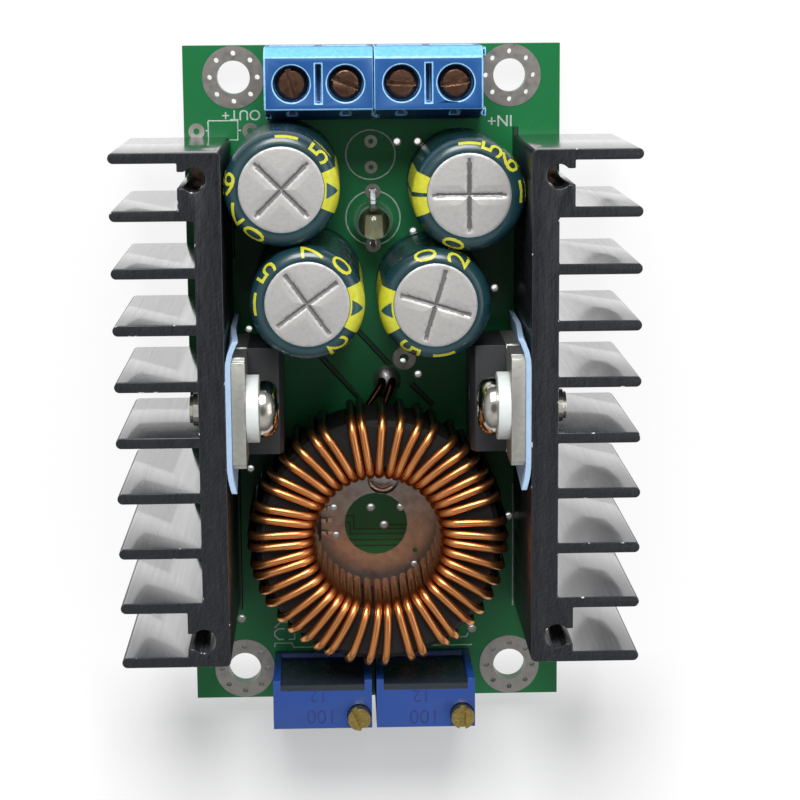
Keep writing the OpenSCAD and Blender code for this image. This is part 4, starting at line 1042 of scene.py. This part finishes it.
for number, turn in enumerate(vent["turns"], 1):
    low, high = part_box("capacitor_can_%d" % number)
    x, y = (low[0] + high[0]) / 2, (low[1] + high[1]) / 2
    z = high[2] + vent["lift"] * mm
    bpy.ops.mesh.primitive_plane_add(size=1 * mm, location=(x, y, z))
    disc = bpy.context.object
    applyPlace()
    openMesh()
    bpy.ops.mesh.delete(type="ONLY_FACE")
    bpy.ops.mesh.select_all(action="SELECT")
    bpy.ops.mesh.merge(type="CENTER")
    ringStep = (vent["radius"] / vent["rings"] * mm, 0, 0)
    for ring in range(vent["rings"]):
        bpy.ops.mesh.extrude_region_move(TRANSFORM_OT_translate={"value": ringStep})
    bpy.ops.mesh.select_all(action="SELECT")
    bpy.ops.mesh.spin(steps=vent["around"], angle=2 * math.pi, center=(x, y, z), axis=(0, 0, 1))
    bpy.ops.mesh.select_all(action="SELECT")
    mergePoints(finish["mergeGap"])
    closeMesh()
    a = math.radians(turn)
    for vertex in disc.data.vertices:
        off, r = fromCross((vertex.co.x - x) / mm, (vertex.co.y - y) / mm, a)
        fade = min(1.0, max(0.0, (vent["length"] - r) / vent["fade"]))
        groove = max(1 - off / vent["groove"], 0) * fade
        swell = vent["swell"] * (1 - (r / vent["radius"]) ** 2) * min(1.0, off / vent["flank"])
        drop = vent["rimDrop"] * max(0.0, (r - vent["rimFrom"]) / vent["rimWide"])
        vertex.co.z += (swell - vent["depth"] * groove - drop) * mm
    disc.data.materials.append(ventAluminium)
    disc.data.materials.append(paintedGrooveShade)
    # faces along the scored grooves get a darker grey as painted shade
    for face in disc.data.polygons:
        off, r = fromCross(face.center.x / mm - x / mm, face.center.y / mm - y / mm, a)
        scored = off < vent["score"] and r < vent["length"] - vent["scoreShort"]
        face.material_index = 1 if scored else 0
    only(disc)
    thick = disc.modifiers.new("sheet", "SOLIDIFY")
    thick.thickness = vent["thick"] * mm
    thick.offset = -1
    bpy.ops.object.modifier_apply(modifier="sheet")
    shadeSmooth(vent["smooth"])
    finishPiece(disc, "capacitor_vent_%d" % number, None)
print("can tops ready")

# plain numbers printed dark on the trimmers, read from the board's far side: x, y and size in mm
trimmerPrint = {
    "colour": "1a2f66", "rise": 0.012,
    "words": (("12", -5.0, -28.75, 1.75), ("100", -4.1, -30.75, 2.0),
              ("12", 4.95, -28.9, 1.75), ("100", 5.85, -30.9, 2.0)),
}
darkInk = newMaterial("darkTrimmerInk", trimmerPrint["colour"], {"Roughness": 0.45})
addGrain(darkInk, 0.3, "223c7a", 0.5, (0.38, 0.52), 0.005)
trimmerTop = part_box("trimmer_housing_left")[1].z
for number, (word, x, y, size) in enumerate(trimmerPrint["words"], 1):
    printed = printedWord(word, x, y, trimmerTop, size, trimmerPrint["rise"])
    finishPiece(printed, "trimmer_number_%d" % number, darkInk)

# the lamp's cup and post inside its clear lens: y from the lens's middle, height, then size in mm
lampFrame = {"colour": "7c7a5e", "edge": 0.12,
             "parts": ((-0.35, 2.5, (0.95, 1.5, 1.5)), (0.85, 2.2, (0.55, 0.4, 2.6)))}
cupMetal = newMaterial("platedLampFrame", lampFrame["colour"], {"Metallic": 0.6,
                                                                "Roughness": 0.45})
addGrain(cupMetal, 0.4, "5e5d47", 0.5, (0.4, 0.55), 0.01)
low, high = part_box("indicator_lens")
x, y = (low[0] + high[0]) / 2, (low[1] + high[1]) / 2
for number, (back, up, size) in enumerate(lampFrame["parts"], 1):
    bpy.ops.mesh.primitive_cube_add(size=1, location=(x, y + back * mm, low[2] + up * mm))
    post = bpy.context.object
    post.scale = [v * mm for v in size]
    applyPlace()
    softenEdges(post, lampFrame["edge"])
    finishPiece(post, "lamp_frame_%d" % number, cupMetal)

# solder risen through the coil's inner lead hole: part of a ring, angles in degrees
crescent = {"centre": (0.72, -9.9), "radius": 1.38, "from": 205, "to": 318, "step": 6,
            "width": 0.42, "thickness": 0.3}
path = []
for angle in range(crescent["from"], crescent["to"] + 1, crescent["step"]):
    path.append((crescent["centre"][0] + crescent["radius"] * math.cos(math.radians(angle)),
                 crescent["centre"][1] + crescent["radius"] * math.sin(math.radians(angle))))
risen = drawnLines("risen", [path], crescent["width"], crescent["thickness"])
finishPiece(risen, "inner_lead_solder", solderMetal)
print("small pieces ready")
